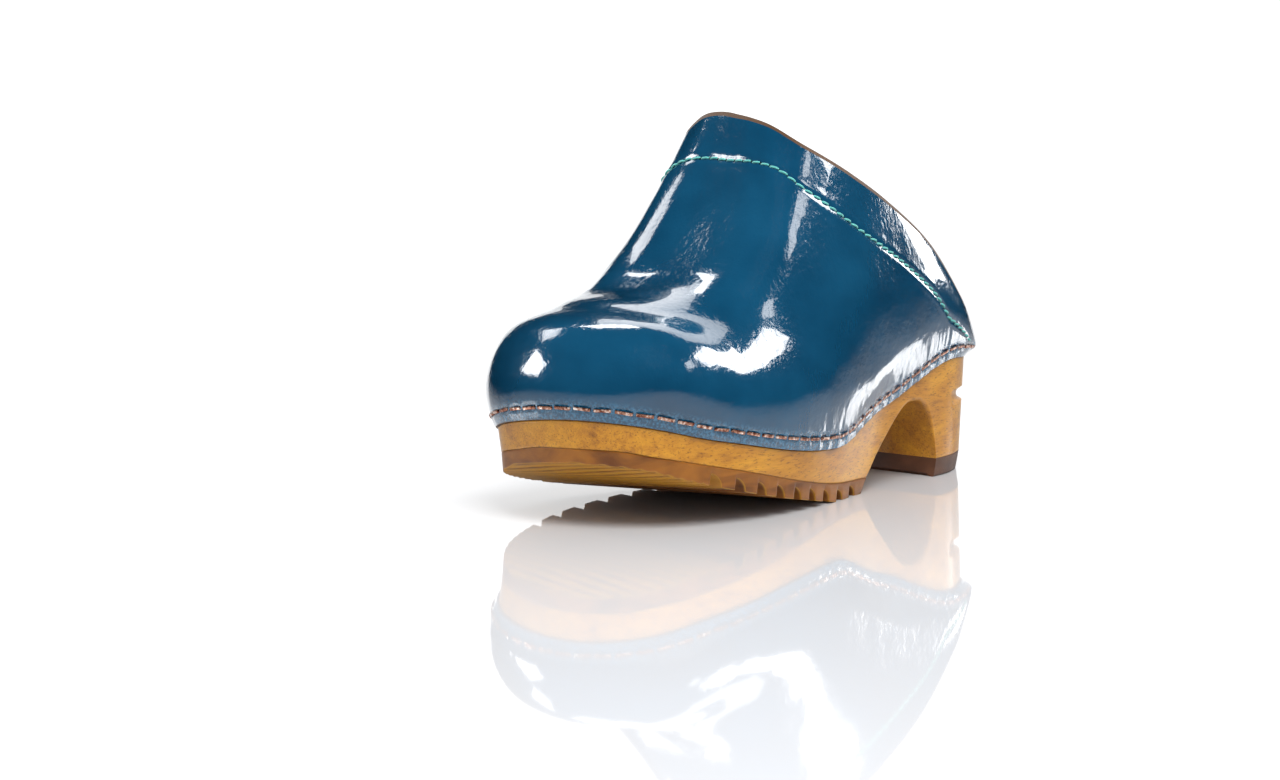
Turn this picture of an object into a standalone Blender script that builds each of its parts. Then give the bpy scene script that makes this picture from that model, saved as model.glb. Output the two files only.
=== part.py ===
"""A closed-toe, open-back wooden clog for the left foot, at rest on its rubber treads.

The pieces are drawn in millimetres on the maker's own axes: the toe tip at y = 0, the back of the
heel at y = SOLE_LENGTH, +x the outer side, z = 0 the ground. frame_shift() then moves every mesh so
that the origin is the bottom centre of the whole clog, and scales it to metres.
"""

import math

import bmesh
import bpy
import numpy as np

MM = 0.001

# Driving dimensions, in millimetres.
SOLE_LENGTH = 256.0
SPINE_FRONT, SPINE_BACK = 34.0, 224.0  # the outline's cross rows lie between these, fans beyond
OUTSOLE_END = 154.0  # back edge of the forefoot tread, where the arch begins
HEEL_BREAST = 210.0  # front edge of the heel
HEEL_SEAT = 8.3  # underside of the wooden heel
FORE_DRAFT, HEEL_DRAFT = 0.135, 0.04  # how far the wall leans in, per millimetre below the ledge
DRAFT_CHANGE = (130.0, 200.0)
BALL_SLANT = 0.33  # the ball line runs forward to the inner side
BALL_CHANGE = (100.0, 151.0)  # the lines run square to the length behind this stretch
RIM_HEIGHT = 8.0  # the footbed's rim above the ledge that the leather stands on
RIM_WIDTH = 4.0
LEDGE_WIDTH = 4.6
LEDGE_END = (247.5, 250.5)  # the ledge narrows to nothing behind the leather's back corners
BED_DISH = 2.4
PIECE_GAP = 0.3

LEATHER_PROUD = 0.8  # the leather's outside beyond the wood
LEATHER_THICK = 1.9
LINING_THICK = 1.2
PUFF_THICK = 0.8
FACING_WIDTH = 27.0
FACING_GAP = 0.7  # between the top of the lining and the facing
LOWEST_FACING, LOWEST_STITCH = 0.3, 0.4  # share of a rib's length that the two lines keep below them
STITCH_INSET = (21.0, 25.0)  # below the topline, at the front of the opening and along its sides
STITCH_CHANGE = (116.0, 145.0)
STITCH_ENDS = 5  # stations without stitching at each back corner
SEAT_BLEND = 25.0  # height over which a rib is eased onto the ledge
THREAD_RADIUS = 0.35

LUG_PITCH = 12.0
LUG_COUNT = 9
LUG_DEPTH = 4.6
LUG_BACK = 150.0  # back of the last lug, from where the rubber slopes up to its back edge
GROOVE_PROFILE = ((0.0, 0.0), (1.3, 1.0), (3.4, 1.0), (4.9, 0.0))  # behind a lug: (distance, depth)
WEB_MINIMUM = 1.4  # rubber left above the bottom of a groove

GROOVE_HEIGHT = 34.0
GROOVE_RADIUS = 3.1
GROOVE_START = 226.0

STAPLE_PLACES = 70
STAPLE_LINE = 5.0  # height of the staple row above the ledge, measured on the leather
STAPLE_CROWN = 6.6
STAPLE_WIRE = 1.0
STAPLE_THICK = 0.5
STAPLE_CLEAR = 0.5  # feet above the faceted leather, which is flatter than the real curve

# The sole's outline seen from above, anticlockwise from the toe tip: (x, y).
OUTLINE = [
    (-10, 0), (16, 4), (38, 21), (49.5, 50), (51.5, 83.5), (45.5, 124.5), (38, 165), (35.5, 200),
    (31.5, 228), (18.5, 249), (-0.5, 256), (-19.5, 249), (-33, 228), (-35, 200), (-35, 165),
    (-40.5, 119.5), (-48.5, 84.5), (-52.5, 54.5), (-47.5, 23.5), (-32, 6),
]
# Heights along the sole: (distance back from the toe, height).
LEDGE = [
    (-20, 49), (-0.8, 42.6), (8.4, 39.7), (21, 35.8), (39, 31.9), (60, 27.9), (79.5, 25.1),
    (96.5, 23.7), (110, 23.5), (124, 25.6), (138, 29.5), (155, 34.0), (171, 37.8), (191.5, 44.9),
    (205, 49.2), (217, 51.5), (237, 51.0), (260, 50.4),
]
UNDERSIDE = [
    (-15, 35), (-1.3, 31.9), (2.6, 31.3), (8.5, 29.1), (20.6, 25.9), (38.7, 21.7), (59.5, 17.0),
    (76.5, 13.3), (98, 9.8), (129, 7.2), (OUTSOLE_END, 6.4), (159, 11.6), (164, 17.0), (170.5, 23.8),
    (176.5, 29.6), (182.5, 34.0), (187, 35.4), (193, 35.4), (199, 32.6), (203, 27.8), (205.5, 22.8),
    (208, 16.5), (HEEL_BREAST, HEEL_SEAT), (260, HEEL_SEAT),
]
TREAD = [
    (-15, 29), (-1.5, 26.4), (8, 23.5), (20, 18.7), (37.5, 14.0), (47, 11.7), (59, 9.1), (71.5, 6.6),
    (84, 4.5), (98.5, 2.3), (110, 1.0), (120, 0), (OUTSOLE_END, 0),
]

# The outside of the upper: ribs from the outer back corner round the toe to the inner back corner.
# Each rib climbs from the ledge to the topline: (x, y, z).
RIBS = [
    [(25.5, 247, 51), (27, 247, 53), (27.5, 247, 54.5), (27.5, 247, 56.5)],
    [(30, 236.5, 51.5), (32, 237, 56), (32.5, 237, 60.5), (31.5, 238, 64.5)],
    [(34.5, 224.5, 52), (36, 225.5, 60), (36, 226, 68), (33.5, 227.5, 77)],
    [(36.5, 202.5, 49), (40, 202, 66), (39.5, 202, 84), (35, 201.5, 102)],
    [(40, 174, 39), (44, 173, 63), (42.5, 172, 92), (36, 171, 120.5)],
    [(45.5, 142.5, 27.5), (48.5, 141.5, 54.5), (46, 141, 90.5), (33.5, 142.5, 135.5)],
    [(50.5, 112.5, 24), (52.5, 111.5, 49.5), (46, 111, 85.5), (24.5, 122, 147.5)],
    [(52.5, 83.5, 27), (54, 82.5, 51), (42, 86.5, 80.5), (33.5, 99.5, 111.5), (13.5, 118, 154)],
    [(50.5, 54.5, 32), (51.5, 53.5, 56), (36, 69.5, 80.5), (25, 90.5, 107.5), (4, 117, 157)],
    [(40.5, 21, 39.5), (42.5, 19.5, 57), (36, 27.5, 74.5), (23.5, 46.5, 82.5), (12, 79.5, 99.5), (-4, 116.5, 158.5)],
    [(-2, -0.5, 43), (-2.5, -2.5, 58), (-4, 9.5, 76.5), (-6.5, 33.5, 84.5), (-7.5, 72, 95), (-12, 116.5, 159.5)],
    [(-42, 14, 34), (-46.5, 12.5, 52), (-42, 19.5, 72), (-30.5, 37.5, 82.5), (-23, 72, 97.5), (-20, 116.5, 158.5)],
    [(-51, 37.5, 28.5), (-54.5, 37.5, 51), (-39.5, 56.5, 81.5), (-33, 82.5, 105), (-27, 118, 155.5)],
    [(-53, 59.5, 25), (-55, 60.5, 48), (-46.5, 71.5, 82), (-39, 91.5, 109.5), (-33.5, 119, 150.5)],
    [(-48.5, 89.5, 21.5), (-53, 90.5, 48), (-48, 94, 85), (-37, 122, 144)],
    [(-41, 121.5, 22.5), (-48, 120.5, 51), (-46.5, 121, 90), (-40, 130.5, 135.5)],
    [(-36.5, 152, 32), (-44, 151, 61), (-45.5, 150, 93), (-41.5, 152.5, 127.5)],
    [(-36, 182, 42), (-41.5, 181, 65.5), (-43.5, 180, 89.5), (-40.5, 179.5, 114.5)],
    [(-36, 208.5, 50.5), (-40.5, 208, 65.5), (-41, 207, 81.5), (-38.5, 206.5, 97)],
    [(-34.5, 224.5, 52), (-37, 225.5, 60), (-37.5, 226, 68), (-35.5, 227.5, 77)],
    [(-31, 236.5, 51.5), (-32.5, 236.5, 56), (-33.5, 237, 60.5), (-33, 238, 64.5)],
    [(-26.5, 247, 51), (-28, 247, 53), (-28.5, 247, 54.5), (-28.5, 247, 56.5)],
]
RIB_STATIONS = 60
LINING_ROWS = 8  # rows of the upper's grid over the lining, the ledge's row among them
PUFF_ROWS = 5
TOE_STATIONS = (21, 38)  # first and last grid station that the toe puff covers


def smooth(value, low, high):
    t = np.clip((np.asarray(value, float) - low) / (high - low), 0, 1)
    return t * t * (3 - 2 * t)


def curve_through(points, closed=False, samples=600):
    """A smooth curve through the points, as evenly spaced samples along its length."""
    p = np.asarray(points, float)
    if closed:
        p = np.vstack([p[-3:], p, p[:3]])
    knots = np.concatenate([[0], np.cumsum(np.sqrt(np.linalg.norm(np.diff(p, axis=0), axis=1)))])
    slope = np.gradient(p, knots, axis=0, edge_order=2)
    first, last = (knots[3], knots[-3]) if closed else (knots[0], knots[-1])
    dense = hermite(p, slope, knots, np.linspace(first, last, samples * 4))
    run = np.concatenate([[0], np.cumsum(np.linalg.norm(np.diff(dense, axis=0), axis=1))])
    even = np.linspace(0, run[-1], samples)
    return np.stack([np.interp(even, run, column) for column in dense.T], axis=-1)


def hermite(values, slopes, knots, at):
    """Cubic interpolation of rows of values, whatever shape a row has."""
    k = np.clip(np.searchsorted(knots, at, side="right") - 1, 0, len(knots) - 2)
    wide = (slice(None),) + (None,) * (values.ndim - 1)
    h = (knots[k + 1] - knots[k])[wide]
    t = (at - knots[k])[wide] / h
    start, leave = (1 + 2 * t) * (1 - t) ** 2, t * (1 - t) ** 2 * h
    end, arrive = t * t * (3 - 2 * t), t * t * (t - 1) * h
    return start * values[k] + leave * slopes[k] + end * values[k + 1] + arrive * slopes[k + 1]


def profile(table, at, rounded=False):
    """A height read from a table of (distance, height), straight between its points or rounded."""
    y, z = np.array(table, float).T
    if not rounded:
        return np.interp(at, y, z)
    at = np.atleast_1d(np.asarray(at, float))
    return hermite(z, np.gradient(z, y), y, at.ravel()).reshape(at.shape)


def slanted(x, y, start, end):
    """Distance back from the toe measured square to the slanted ball line, square to y past end."""
    return y - BALL_SLANT * x * (1 - smooth(y, start, end))


def ledge_height(x, y):
    return profile(LEDGE, slanted(x, y, 110, 170), rounded=True)


def underside_height(x, y):
    return profile(UNDERSIDE, slanted(x, y, *BALL_CHANGE))


def draft(y):
    return FORE_DRAFT + (HEEL_DRAFT - FORE_DRAFT) * smooth(y, *DRAFT_CHANGE)


def tread_height(x, y):
    return profile(TREAD, slanted(x, y, *BALL_CHANGE))


# ---------------------------------------------------------------- the sole's plan


def plan_curve(inset):
    """The outline moved inwards, as dense points that run anticlockwise from above."""
    curve = curve_through(OUTLINE, closed=True)[:-1]
    along = np.roll(curve, -1, axis=0) - np.roll(curve, 1, axis=0)
    outward = np.stack([along[:, 1], -along[:, 0]], axis=-1)
    outward /= np.linalg.norm(outward, axis=1, keepdims=True)
    return curve - outward * inset


class Plan:
    """Reads the outline at cross rows between the fans and at angles inside the fans."""

    def __init__(self, inset=0.0):
        self.points = plan_curve(inset)

    def at_row(self, side, y):
        mine = self.points[self.points[:, 0] * side > 0]
        mine = mine[np.argsort(mine[:, 1])]
        return side * np.interp(y, mine[:, 1], side * mine[:, 0])

    def toward(self, centre_y, angle):
        offset = self.points - (0.0, centre_y)
        angles = np.unwrap(np.arctan2(offset[:, 1], offset[:, 0]))
        order = np.argsort(angles % (2 * math.pi))
        reach = np.interp(
            angle % (2 * math.pi), angles[order] % (2 * math.pi), np.linalg.norm(offset, axis=1)[order],
            period=2 * math.pi,
        )
        return reach * math.cos(angle), centre_y + reach * math.sin(angle)


def stations(rows, toe_fan=9, heel_fan=9):
    """Round the outline anticlockwise from above: ('fan', centre, angle) and ('row', side, y).

    Without a toe or heel fan the list starts or breaks at that end, so that a straight edge closes it.
    """
    heel = [("fan", SPINE_BACK, math.pi * (i + 1) / (heel_fan + 1)) for i in range(heel_fan)]
    toe = [("fan", SPINE_FRONT, math.pi * (1 + (i + 1) / (toe_fan + 1))) for i in range(toe_fan)]
    outer, inner = [("row", 1, y) for y in rows], [("row", -1, y) for y in reversed(rows)]
    return inner + toe + outer if toe_fan and not heel_fan else outer + heel + inner + toe


def ring(marks, inset=0.0):
    """The outline's point at each station, moved inwards by inset (one value, or one per station)."""
    insets = np.round(np.broadcast_to(np.asarray(inset, float), len(marks)), 1)
    plans = {value: Plan(value) for value in sorted(set(insets))}
    points = []
    for (kind, where, at), value in zip(marks, insets):
        plan = plans[value]
        points.append(plan.toward(where, at) if kind == "fan" else (plan.at_row(where, at), at))
    return np.array(points)


def spine(marks):
    """The point on the centre line that each station faces."""
    return np.array([(0.0, where if kind == "fan" else at) for kind, where, at in marks])


# ---------------------------------------------------------------- meshes


def mesh_object(name, points, faces, material, smooth_angle=35):
    """A closed mesh with merged corners and outward faces, as an object."""
    build = bmesh.new()
    corners = [build.verts.new(point) for point in points]
    for face in faces:
        loop = [corners[i] for i in face]
        if len({id(corner) for corner in loop}) > 2:
            build.faces.new(loop)
    bmesh.ops.remove_doubles(build, verts=build.verts, dist=1e-4)
    bmesh.ops.holes_fill(build, edges=build.edges)
    bmesh.ops.triangulate(build, faces=build.faces)
    bmesh.ops.recalc_face_normals(build, faces=build.faces)
    if build.calc_volume(signed=True) < 0:
        bmesh.ops.reverse_faces(build, faces=build.faces)
    mesh = bpy.data.meshes.new(name)
    build.to_mesh(mesh)
    build.free()
    mesh.shade_smooth()
    mesh.set_sharp_from_angle(angle=math.radians(smooth_angle))
    mesh.materials.append(material)
    made = bpy.data.objects.new(name, mesh)
    bpy.context.collection.objects.link(made)
    return made


def strip_faces(rows, columns, wrap=True):
    """Quads between neighbouring rows of a grid whose rows run round a ring of columns."""
    last = columns if wrap else columns - 1
    faces = []
    for r in range(rows - 1):
        for c in range(last):
            d = (c + 1) % columns
            faces.append((r * columns + c, r * columns + d, (r + 1) * columns + d, (r + 1) * columns + c))
    return faces


def stacked(name, layers, material, wrap=True):
    """A solid from rings of points that run from its upper centre line over its wall to its lower one.

    Without wrap the rings stay open where a straight back or front edge cuts the outline.
    """
    points = np.concatenate(layers)
    return mesh_object(name, points, strip_faces(len(layers), len(layers[0]), wrap), material)


def lifted(plan_points, height):
    """Plan points set at a height, one value or one for each."""
    return np.column_stack([plan_points, np.broadcast_to(height, len(plan_points))])


def between(inner, outer, share):
    return inner + (outer - inner) * share


def shell(name, outer, inner, material, **options):
    """A sheet with thickness from two matching grids of points: station, row, xyz."""
    count, rows = outer.shape[:2]
    faces = []
    for side, flip in ((0, False), (count * rows, True)):
        for i in range(count - 1):
            for j in range(rows - 1):
                quad = [side + i * rows + j, side + (i + 1) * rows + j,
                        side + (i + 1) * rows + j + 1, side + i * rows + j + 1]
                faces.append(quad[::-1] if flip else quad)
    rim = [i * rows for i in range(count)] + [(count - 1) * rows + j for j in range(1, rows)]
    rim += [i * rows + rows - 1 for i in range(count - 2, -1, -1)] + list(range(rows - 2, 0, -1))
    far = count * rows
    for a, b in zip(rim, rim[1:] + rim[:1]):
        faces.append((b, a, a + far, b + far))
    points = np.concatenate([outer.reshape(-1, 3), inner.reshape(-1, 3)])
    return mesh_object(name, points, faces, material, **options)


def finish_material(name, colour, roughness, metallic=0.0, coat=0.0):
    material = bpy.data.materials.new(name)
    material.use_nodes = True
    shader = material.node_tree.nodes["Principled BSDF"]
    shader.inputs["Base Color"].default_value = (*colour, 1)
    shader.inputs["Roughness"].default_value = roughness
    shader.inputs["Metallic"].default_value = metallic
    shader.inputs["Coat Weight"].default_value = coat
    material.diffuse_color = (*colour, 1)
    return material


# ---------------------------------------------------------------- wooden sole


def leather_mask(points):
    """1 where the ledge carries leather, 0 round the open back of the heel."""
    return 1 - smooth(points[:, 1], *LEDGE_END)


def make_wooden_sole(material):
    rows = [34, 46, 58, 70, 82, 93, 102, 110, 118, 127, 136, 145, OUTSOLE_END, 159, 164, 170.5, 176.5,
            182.5, 187, 193, 199, 203, 205.5, 208, HEEL_BREAST, 217, SPINE_BACK]
    marks = stations(rows)
    wall = ring(marks)
    centre = spine(marks)
    ledge = ledge_height(*wall.T)
    under = underside_height(*wall.T)
    step = PIECE_GAP + (LEDGE_WIDTH - PIECE_GAP) * leather_mask(wall)
    riser = ring(marks, step)
    rim_edge = ring(marks, step + 1.0)
    rim_inner = ring(marks, step + RIM_WIDTH)
    foot = ring(marks, draft(wall[:, 1]) * (ledge - under))
    riser_foot = ledge_height(*riser.T)
    rim = riser_foot + RIM_HEIGHT
    bed = ledge_height(*centre.T) + RIM_HEIGHT - BED_DISH
    layers = [
        lifted(centre, bed),
        lifted(between(centre, rim_inner, 0.5), bed),
        lifted(between(centre, rim_inner, 0.85), bed + 0.4 * (rim - bed)),
        lifted(rim_inner, rim - 0.4),
        lifted(rim_edge, rim),
        lifted(riser, rim - 1.0),
        lifted(riser, riser_foot),
        lifted(wall, ledge),
        lifted(foot, under),
        lifted(between(centre, foot, 0.5), underside_height(*between(centre, foot, 0.5).T)),
        lifted(centre, underside_height(*centre.T)),
    ]
    sole = stacked("wooden_sole", layers, material)
    path = plan_curve(HEEL_DRAFT * (profile(LEDGE, SOLE_LENGTH) - GROOVE_HEIGHT))
    path = path[path[:, 1] > GROOVE_START]
    path = path[np.argsort(np.arctan2(path[:, 1] - SPINE_BACK, path[:, 0]))]
    path = path[np.linspace(0, len(path) - 1, 19).astype(int)]
    cutter = tube("groove_cutter", lifted(path, GROOVE_HEIGHT), GROOVE_RADIUS, 8, material)
    cutter.hide_render = True
    cutter.display_type = "WIRE"
    cut = sole.modifiers.new("heel groove", "BOOLEAN")
    cut.operation = "DIFFERENCE"
    cut.object = cutter
    return sole


def tube(name, path, radius, sides, material):
    """A round bar along a path, with flat ends."""
    path = np.asarray(path, float)
    along = np.gradient(path, axis=0)
    along /= np.linalg.norm(along, axis=1, keepdims=True)
    across = np.cross(along, (0, 0, 1.0))
    across /= np.linalg.norm(across, axis=1, keepdims=True)
    up = np.cross(across, along)
    turns = [2 * math.pi * k / sides for k in range(sides)]
    circles = [path + radius * (math.cos(t) * across + math.sin(t) * up) for t in turns]
    points = np.stack(circles, axis=1).reshape(-1, 3)
    faces = strip_faces(len(path), sides)
    faces += [tuple(range(sides)), tuple(len(points) - sides + k for k in range(sides))]
    return mesh_object(name, points, faces, material)


# ---------------------------------------------------------------- rubber treads


def lug_rows():
    """Cross rows at the corners of every lug: (y, how deep the groove is there)."""
    first = LUG_BACK - LUG_COUNT * LUG_PITCH
    starts = [first + lug * LUG_PITCH for lug in range(LUG_COUNT)]
    rows = [(start + behind, deep) for start in starts for behind, deep in GROOVE_PROFILE]
    return rows + [(LUG_BACK, 0.0), (OUTSOLE_END, 1.0)]


def make_forefoot_outsole(material):
    lugs = dict(lug_rows())
    rows = sorted(set(lugs) | {SPINE_FRONT + 3})
    marks = stations(rows, heel_fan=0)
    deep = np.array([0.0 if kind == "fan" else lugs.get(at, 0.0) for kind, _, at in marks])
    wall = ring(marks)
    centre = spine(marks)
    lean = draft(wall[:, 1]) * (ledge_height(*wall.T) - underside_height(*wall.T))
    edge = ring(marks, lean)

    def tread(points):
        open_height = tread_height(*points.T) + LUG_DEPTH * deep
        return np.minimum(open_height, underside_height(*points.T) - PIECE_GAP - WEB_MINIMUM)

    below = ring(marks, lean + 0.7)
    middle = between(centre, below, 0.55)
    layers = [
        lifted(centre, underside_height(*centre.T) - PIECE_GAP),
        lifted(between(centre, edge, 0.5), underside_height(*between(centre, edge, 0.5).T) - PIECE_GAP),
        lifted(edge, underside_height(*edge.T) - PIECE_GAP),
        lifted(below, tread(below)),
        lifted(middle, tread(middle)),
        lifted(centre, tread(centre)),
    ]
    return stacked("forefoot_outsole", layers, material, wrap=False)


def make_heel_top_lift(material):
    rows = [HEEL_BREAST, 217, SPINE_BACK]
    marks = stations(rows, toe_fan=0)
    lean = HEEL_DRAFT * (ledge_height(*ring(marks).T) - HEEL_SEAT)
    top = ring(marks, lean)
    low = ring(marks, lean + 0.9)
    foot = ring(marks, lean + 2.4)
    high = np.full(len(marks), HEEL_SEAT - PIECE_GAP)
    ground = np.zeros(len(marks))
    layers = [
        lifted(spine(marks), high), lifted(top, high), lifted(low, ground + 1.8), lifted(foot, ground),
        lifted(spine(marks), ground),
    ]
    return stacked("heel_top_lift", layers, material, wrap=False)


# ---------------------------------------------------------------- upper


def upper_grid():
    """The outside of the upper at the shared stations and rows, with its outward normals.

    The first LINING_ROWS rows climb from the ledge over the lining. The next is the lower edge of
    the collar facing, then come the stitch line, a middle row and the topline.
    """
    fine = np.array([curve_through(rib, samples=61) for rib in RIBS])
    spread = np.linalg.norm(np.diff(fine, axis=0), axis=2).mean(axis=1)
    knots = np.concatenate([[0], np.cumsum(np.sqrt(spread))])
    run = np.concatenate([[0], np.cumsum(spread)])
    at = np.interp(np.linspace(0, run[-1], RIB_STATIONS), run, knots)
    lofted = seated(hermite(fine, np.gradient(fine, knots, axis=0, edge_order=2), knots, at))
    length = np.linalg.norm(np.diff(lofted, axis=1), axis=2).sum(axis=1)
    front, side = STITCH_INSET
    inset = front + (side - front) * smooth(lofted[:, -1, 1], *STITCH_CHANGE)
    facing = np.maximum(1 - FACING_WIDTH / length, LOWEST_FACING)
    stitch = np.maximum(1 - inset / length, LOWEST_STITCH)
    lining = facing - FACING_GAP / length
    rows = [lining * j / (LINING_ROWS - 1) for j in range(LINING_ROWS)]
    rows += [facing, stitch, stitch + (1 - stitch) * 0.5, np.ones(RIB_STATIONS)]
    share = np.stack(rows, axis=1) * (lofted.shape[1] - 1)
    whole = np.minimum(share.astype(int), lofted.shape[1] - 2)
    part = (share - whole)[..., None]
    pick = np.arange(RIB_STATIONS)[:, None]
    grid = lofted[pick, whole] * (1 - part) + lofted[pick, whole + 1] * part
    normal = np.cross(np.gradient(grid, axis=1), np.gradient(grid, axis=0))
    normal /= np.linalg.norm(normal, axis=2, keepdims=True)
    return grid, normal


def seated(ribs):
    """Moves the foot of every rib exactly over the ledge's edge, and the wall above it a little less."""
    edge = plan_curve(-LEATHER_PROUD)
    foot = ribs[:, 0]
    away = np.linalg.norm(foot[:, None, :2] - edge[None], axis=2)
    plan = edge[away.argmin(axis=1)]
    target = np.column_stack([plan, ledge_height(*plan.T) + PIECE_GAP])
    run = np.linalg.norm(np.diff(ribs, axis=1), axis=2).cumsum(axis=1)
    run = np.concatenate([np.zeros((len(ribs), 1)), run], axis=1)
    fade = 1 - smooth(run, 0, np.minimum(SEAT_BLEND, 0.8 * run[:, -1:]))
    return ribs + fade[..., None] * (target - foot)[:, None]


def toe_depth(grid):
    """How much deeper the lining lies where the toe puff is between it and the leather."""
    station = np.arange(grid.shape[0])[:, None]
    row = np.arange(grid.shape[1])[None, :]
    first, last = TOE_STATIONS
    across = smooth(station, first - 3, first - 1) * (1 - smooth(station, last + 1, last + 3))
    return (PUFF_THICK + PIECE_GAP) * across * (1 - smooth(row, PUFF_ROWS, PUFF_ROWS + 2))


def make_upper(materials):
    grid, normal = upper_grid()

    def under(depth, station=slice(None), row=slice(None)):
        depth = np.broadcast_to(np.asarray(depth, float), grid.shape[:2])
        sheet = grid - normal * depth[..., None]
        sheet[:, 0, 2] = ledge_height(sheet[:, 0, 0], sheet[:, 0, 1]) + PIECE_GAP
        return sheet[station, row]

    shell("vamp", grid, under(LEATHER_THICK), materials["leather"], smooth_angle=50)
    outside = LEATHER_THICK + PIECE_GAP + toe_depth(grid)
    short_of_corners = slice(1, -1), slice(0, LINING_ROWS)
    collar = slice(None), slice(LINING_ROWS, None)
    for name, part, material in (
        ("vamp_lining", short_of_corners, "lining"), ("collar_facing", collar, "facing"),
    ):
        inside = under(outside + LINING_THICK, *part)
        shell(name, under(outside, *part), inside, materials[material], smooth_angle=50)
    toe = slice(TOE_STATIONS[0], TOE_STATIONS[1] + 1), slice(0, PUFF_ROWS + 1)
    top = LEATHER_THICK + PIECE_GAP
    shell("toe_puff", under(top, *toe), under(top + PUFF_THICK, *toe), materials["puff"], smooth_angle=50)
    return grid, normal


def make_stitching(grid, normal, material):
    """The sewn line that holds the collar facing, as one cord on the leather."""
    row = LINING_ROWS + 1
    used = slice(STITCH_ENDS, RIB_STATIONS - STITCH_ENDS)
    path = grid[used, row] + normal[used, row] * (THREAD_RADIUS + PIECE_GAP + 0.1)
    return tube("topline_stitching", path, THREAD_RADIUS, 5, material)


def line_above_ledge(grid, height):
    """The points at a height above the ledge on every rib, lower where the rib itself is short."""
    found = []
    for rib in grid:
        run = np.concatenate([[0], np.cumsum(np.linalg.norm(np.diff(rib, axis=0), axis=1))])
        at = min(height, 0.45 * run[-1])
        found.append([np.interp(at, run, column) for column in rib.T])
    return np.array(found)


def staple_section():
    """A flat wire crown with its two ends turned in: (along, out), with the feet at out = 0."""
    half, thick = STAPLE_CROWN / 2, STAPLE_THICK
    foot_out, foot_in = (-half, 0), (-half + thick, 0)
    left = [foot_out, foot_in, (-half + thick, thick)]
    right = [(-along, out) for along, out in reversed(left)]
    return left + right + [(half, 2 * thick), (-half, 2 * thick)]


def make_staples(grid, material):
    """Two of every three staples of the row that fixes the leather to the wood."""
    line = line_above_ledge(grid, STAPLE_LINE)
    rise = line_above_ledge(grid, STAPLE_LINE + 1) - grid[:, 0]
    run = np.concatenate([[0], np.cumsum(np.linalg.norm(np.diff(line, axis=0), axis=1))])
    section = staple_section()
    corners = len(section)
    faces = [tuple(range(corners)), tuple(range(corners, 2 * corners))]
    faces += [(k, (k + 1) % corners, corners + (k + 1) % corners, corners + k) for k in range(corners)]

    def along_row(values, place):
        return np.array([np.interp(place, run, column) for column in values.T])

    for number, place in enumerate(np.linspace(STAPLE_CROWN, run[-1] - STAPLE_CROWN, STAPLE_PLACES)):
        if number % 3 == 2:
            continue
        along = along_row(line, place + STAPLE_CROWN / 2) - along_row(line, place - STAPLE_CROWN / 2)
        along /= np.linalg.norm(along)
        out = np.cross(along_row(rise, place), along)
        out /= np.linalg.norm(out)
        up = np.cross(along, out)
        foot = along_row(line, place) + out * STAPLE_CLEAR
        points = [
            foot + along * a + out * o + up * u
            for u in (-STAPLE_WIRE / 2, STAPLE_WIRE / 2) for a, o in section
        ]
        mesh_object(f"staple_{number + 1:02d}", np.array(points), faces, material)


# ---------------------------------------------------------------- assembly


def frame_shift():
    """Moves the meshes from the maker's millimetres to metres, with the origin bottom centre."""
    made = [obj for obj in bpy.context.scene.objects if obj.type == "MESH"]
    seen = [np.array([v.co[:] for v in obj.data.vertices]) for obj in made if not obj.hide_render]
    corners = np.concatenate(seen)
    low, high = corners.min(axis=0), corners.max(axis=0)
    shift = np.array([(low[0] + high[0]) / 2, (low[1] + high[1]) / 2, low[2]])
    for obj in made:
        for vertex in obj.data.vertices:
            vertex.co = (np.array(vertex.co[:]) - shift) * MM
        obj.data.update()


def main():
    for obj in list(bpy.data.objects):
        bpy.data.objects.remove(obj, do_unlink=True)
    wood = finish_material("lacquered_wood", (0.62, 0.33, 0.07), 0.35, coat=0.4)
    gum = finish_material("gum_rubber", (0.42, 0.16, 0.03), 0.45)
    brown = finish_material("heel_rubber", (0.13, 0.05, 0.02), 0.5)
    steel = finish_material("staple_wire", (0.62, 0.55, 0.47), 0.3, metallic=1.0)
    thread = finish_material("mint_thread", (0.22, 0.62, 0.55), 0.6)
    upper = {
        "leather": finish_material("patent_leather", (0.01, 0.07, 0.13), 0.08, coat=1.0),
        "lining": finish_material("lining_leather", (0.45, 0.33, 0.2), 0.8),
        "facing": finish_material("facing_leather", (0.16, 0.08, 0.035), 0.7),
        "puff": finish_material("toe_stiffener", (0.6, 0.58, 0.5), 0.7),
    }
    make_wooden_sole(wood)
    make_forefoot_outsole(gum)
    make_heel_top_lift(brown)
    grid, normal = make_upper(upper)
    make_stitching(grid, normal, thread)
    make_staples(grid, steel)
    frame_shift()


main()
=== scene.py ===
# %% [markdown]
# # A wooden clog with a closed toe and an open heel
# The real clog is few pieces: a carved and lacquered wooden sole, an upper of patent leather with its
# lining, facing and toe puff, one row of staples that pins the leather to a ledge round the wood, and
# rubber treads under the forefoot and the heel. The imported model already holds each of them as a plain
# solid. This lesson keeps those places and sizes and makes every surface again at a finer grain.

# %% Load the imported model
import math

import bmesh
import bpy
import numpy as np
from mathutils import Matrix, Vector, noise


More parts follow.
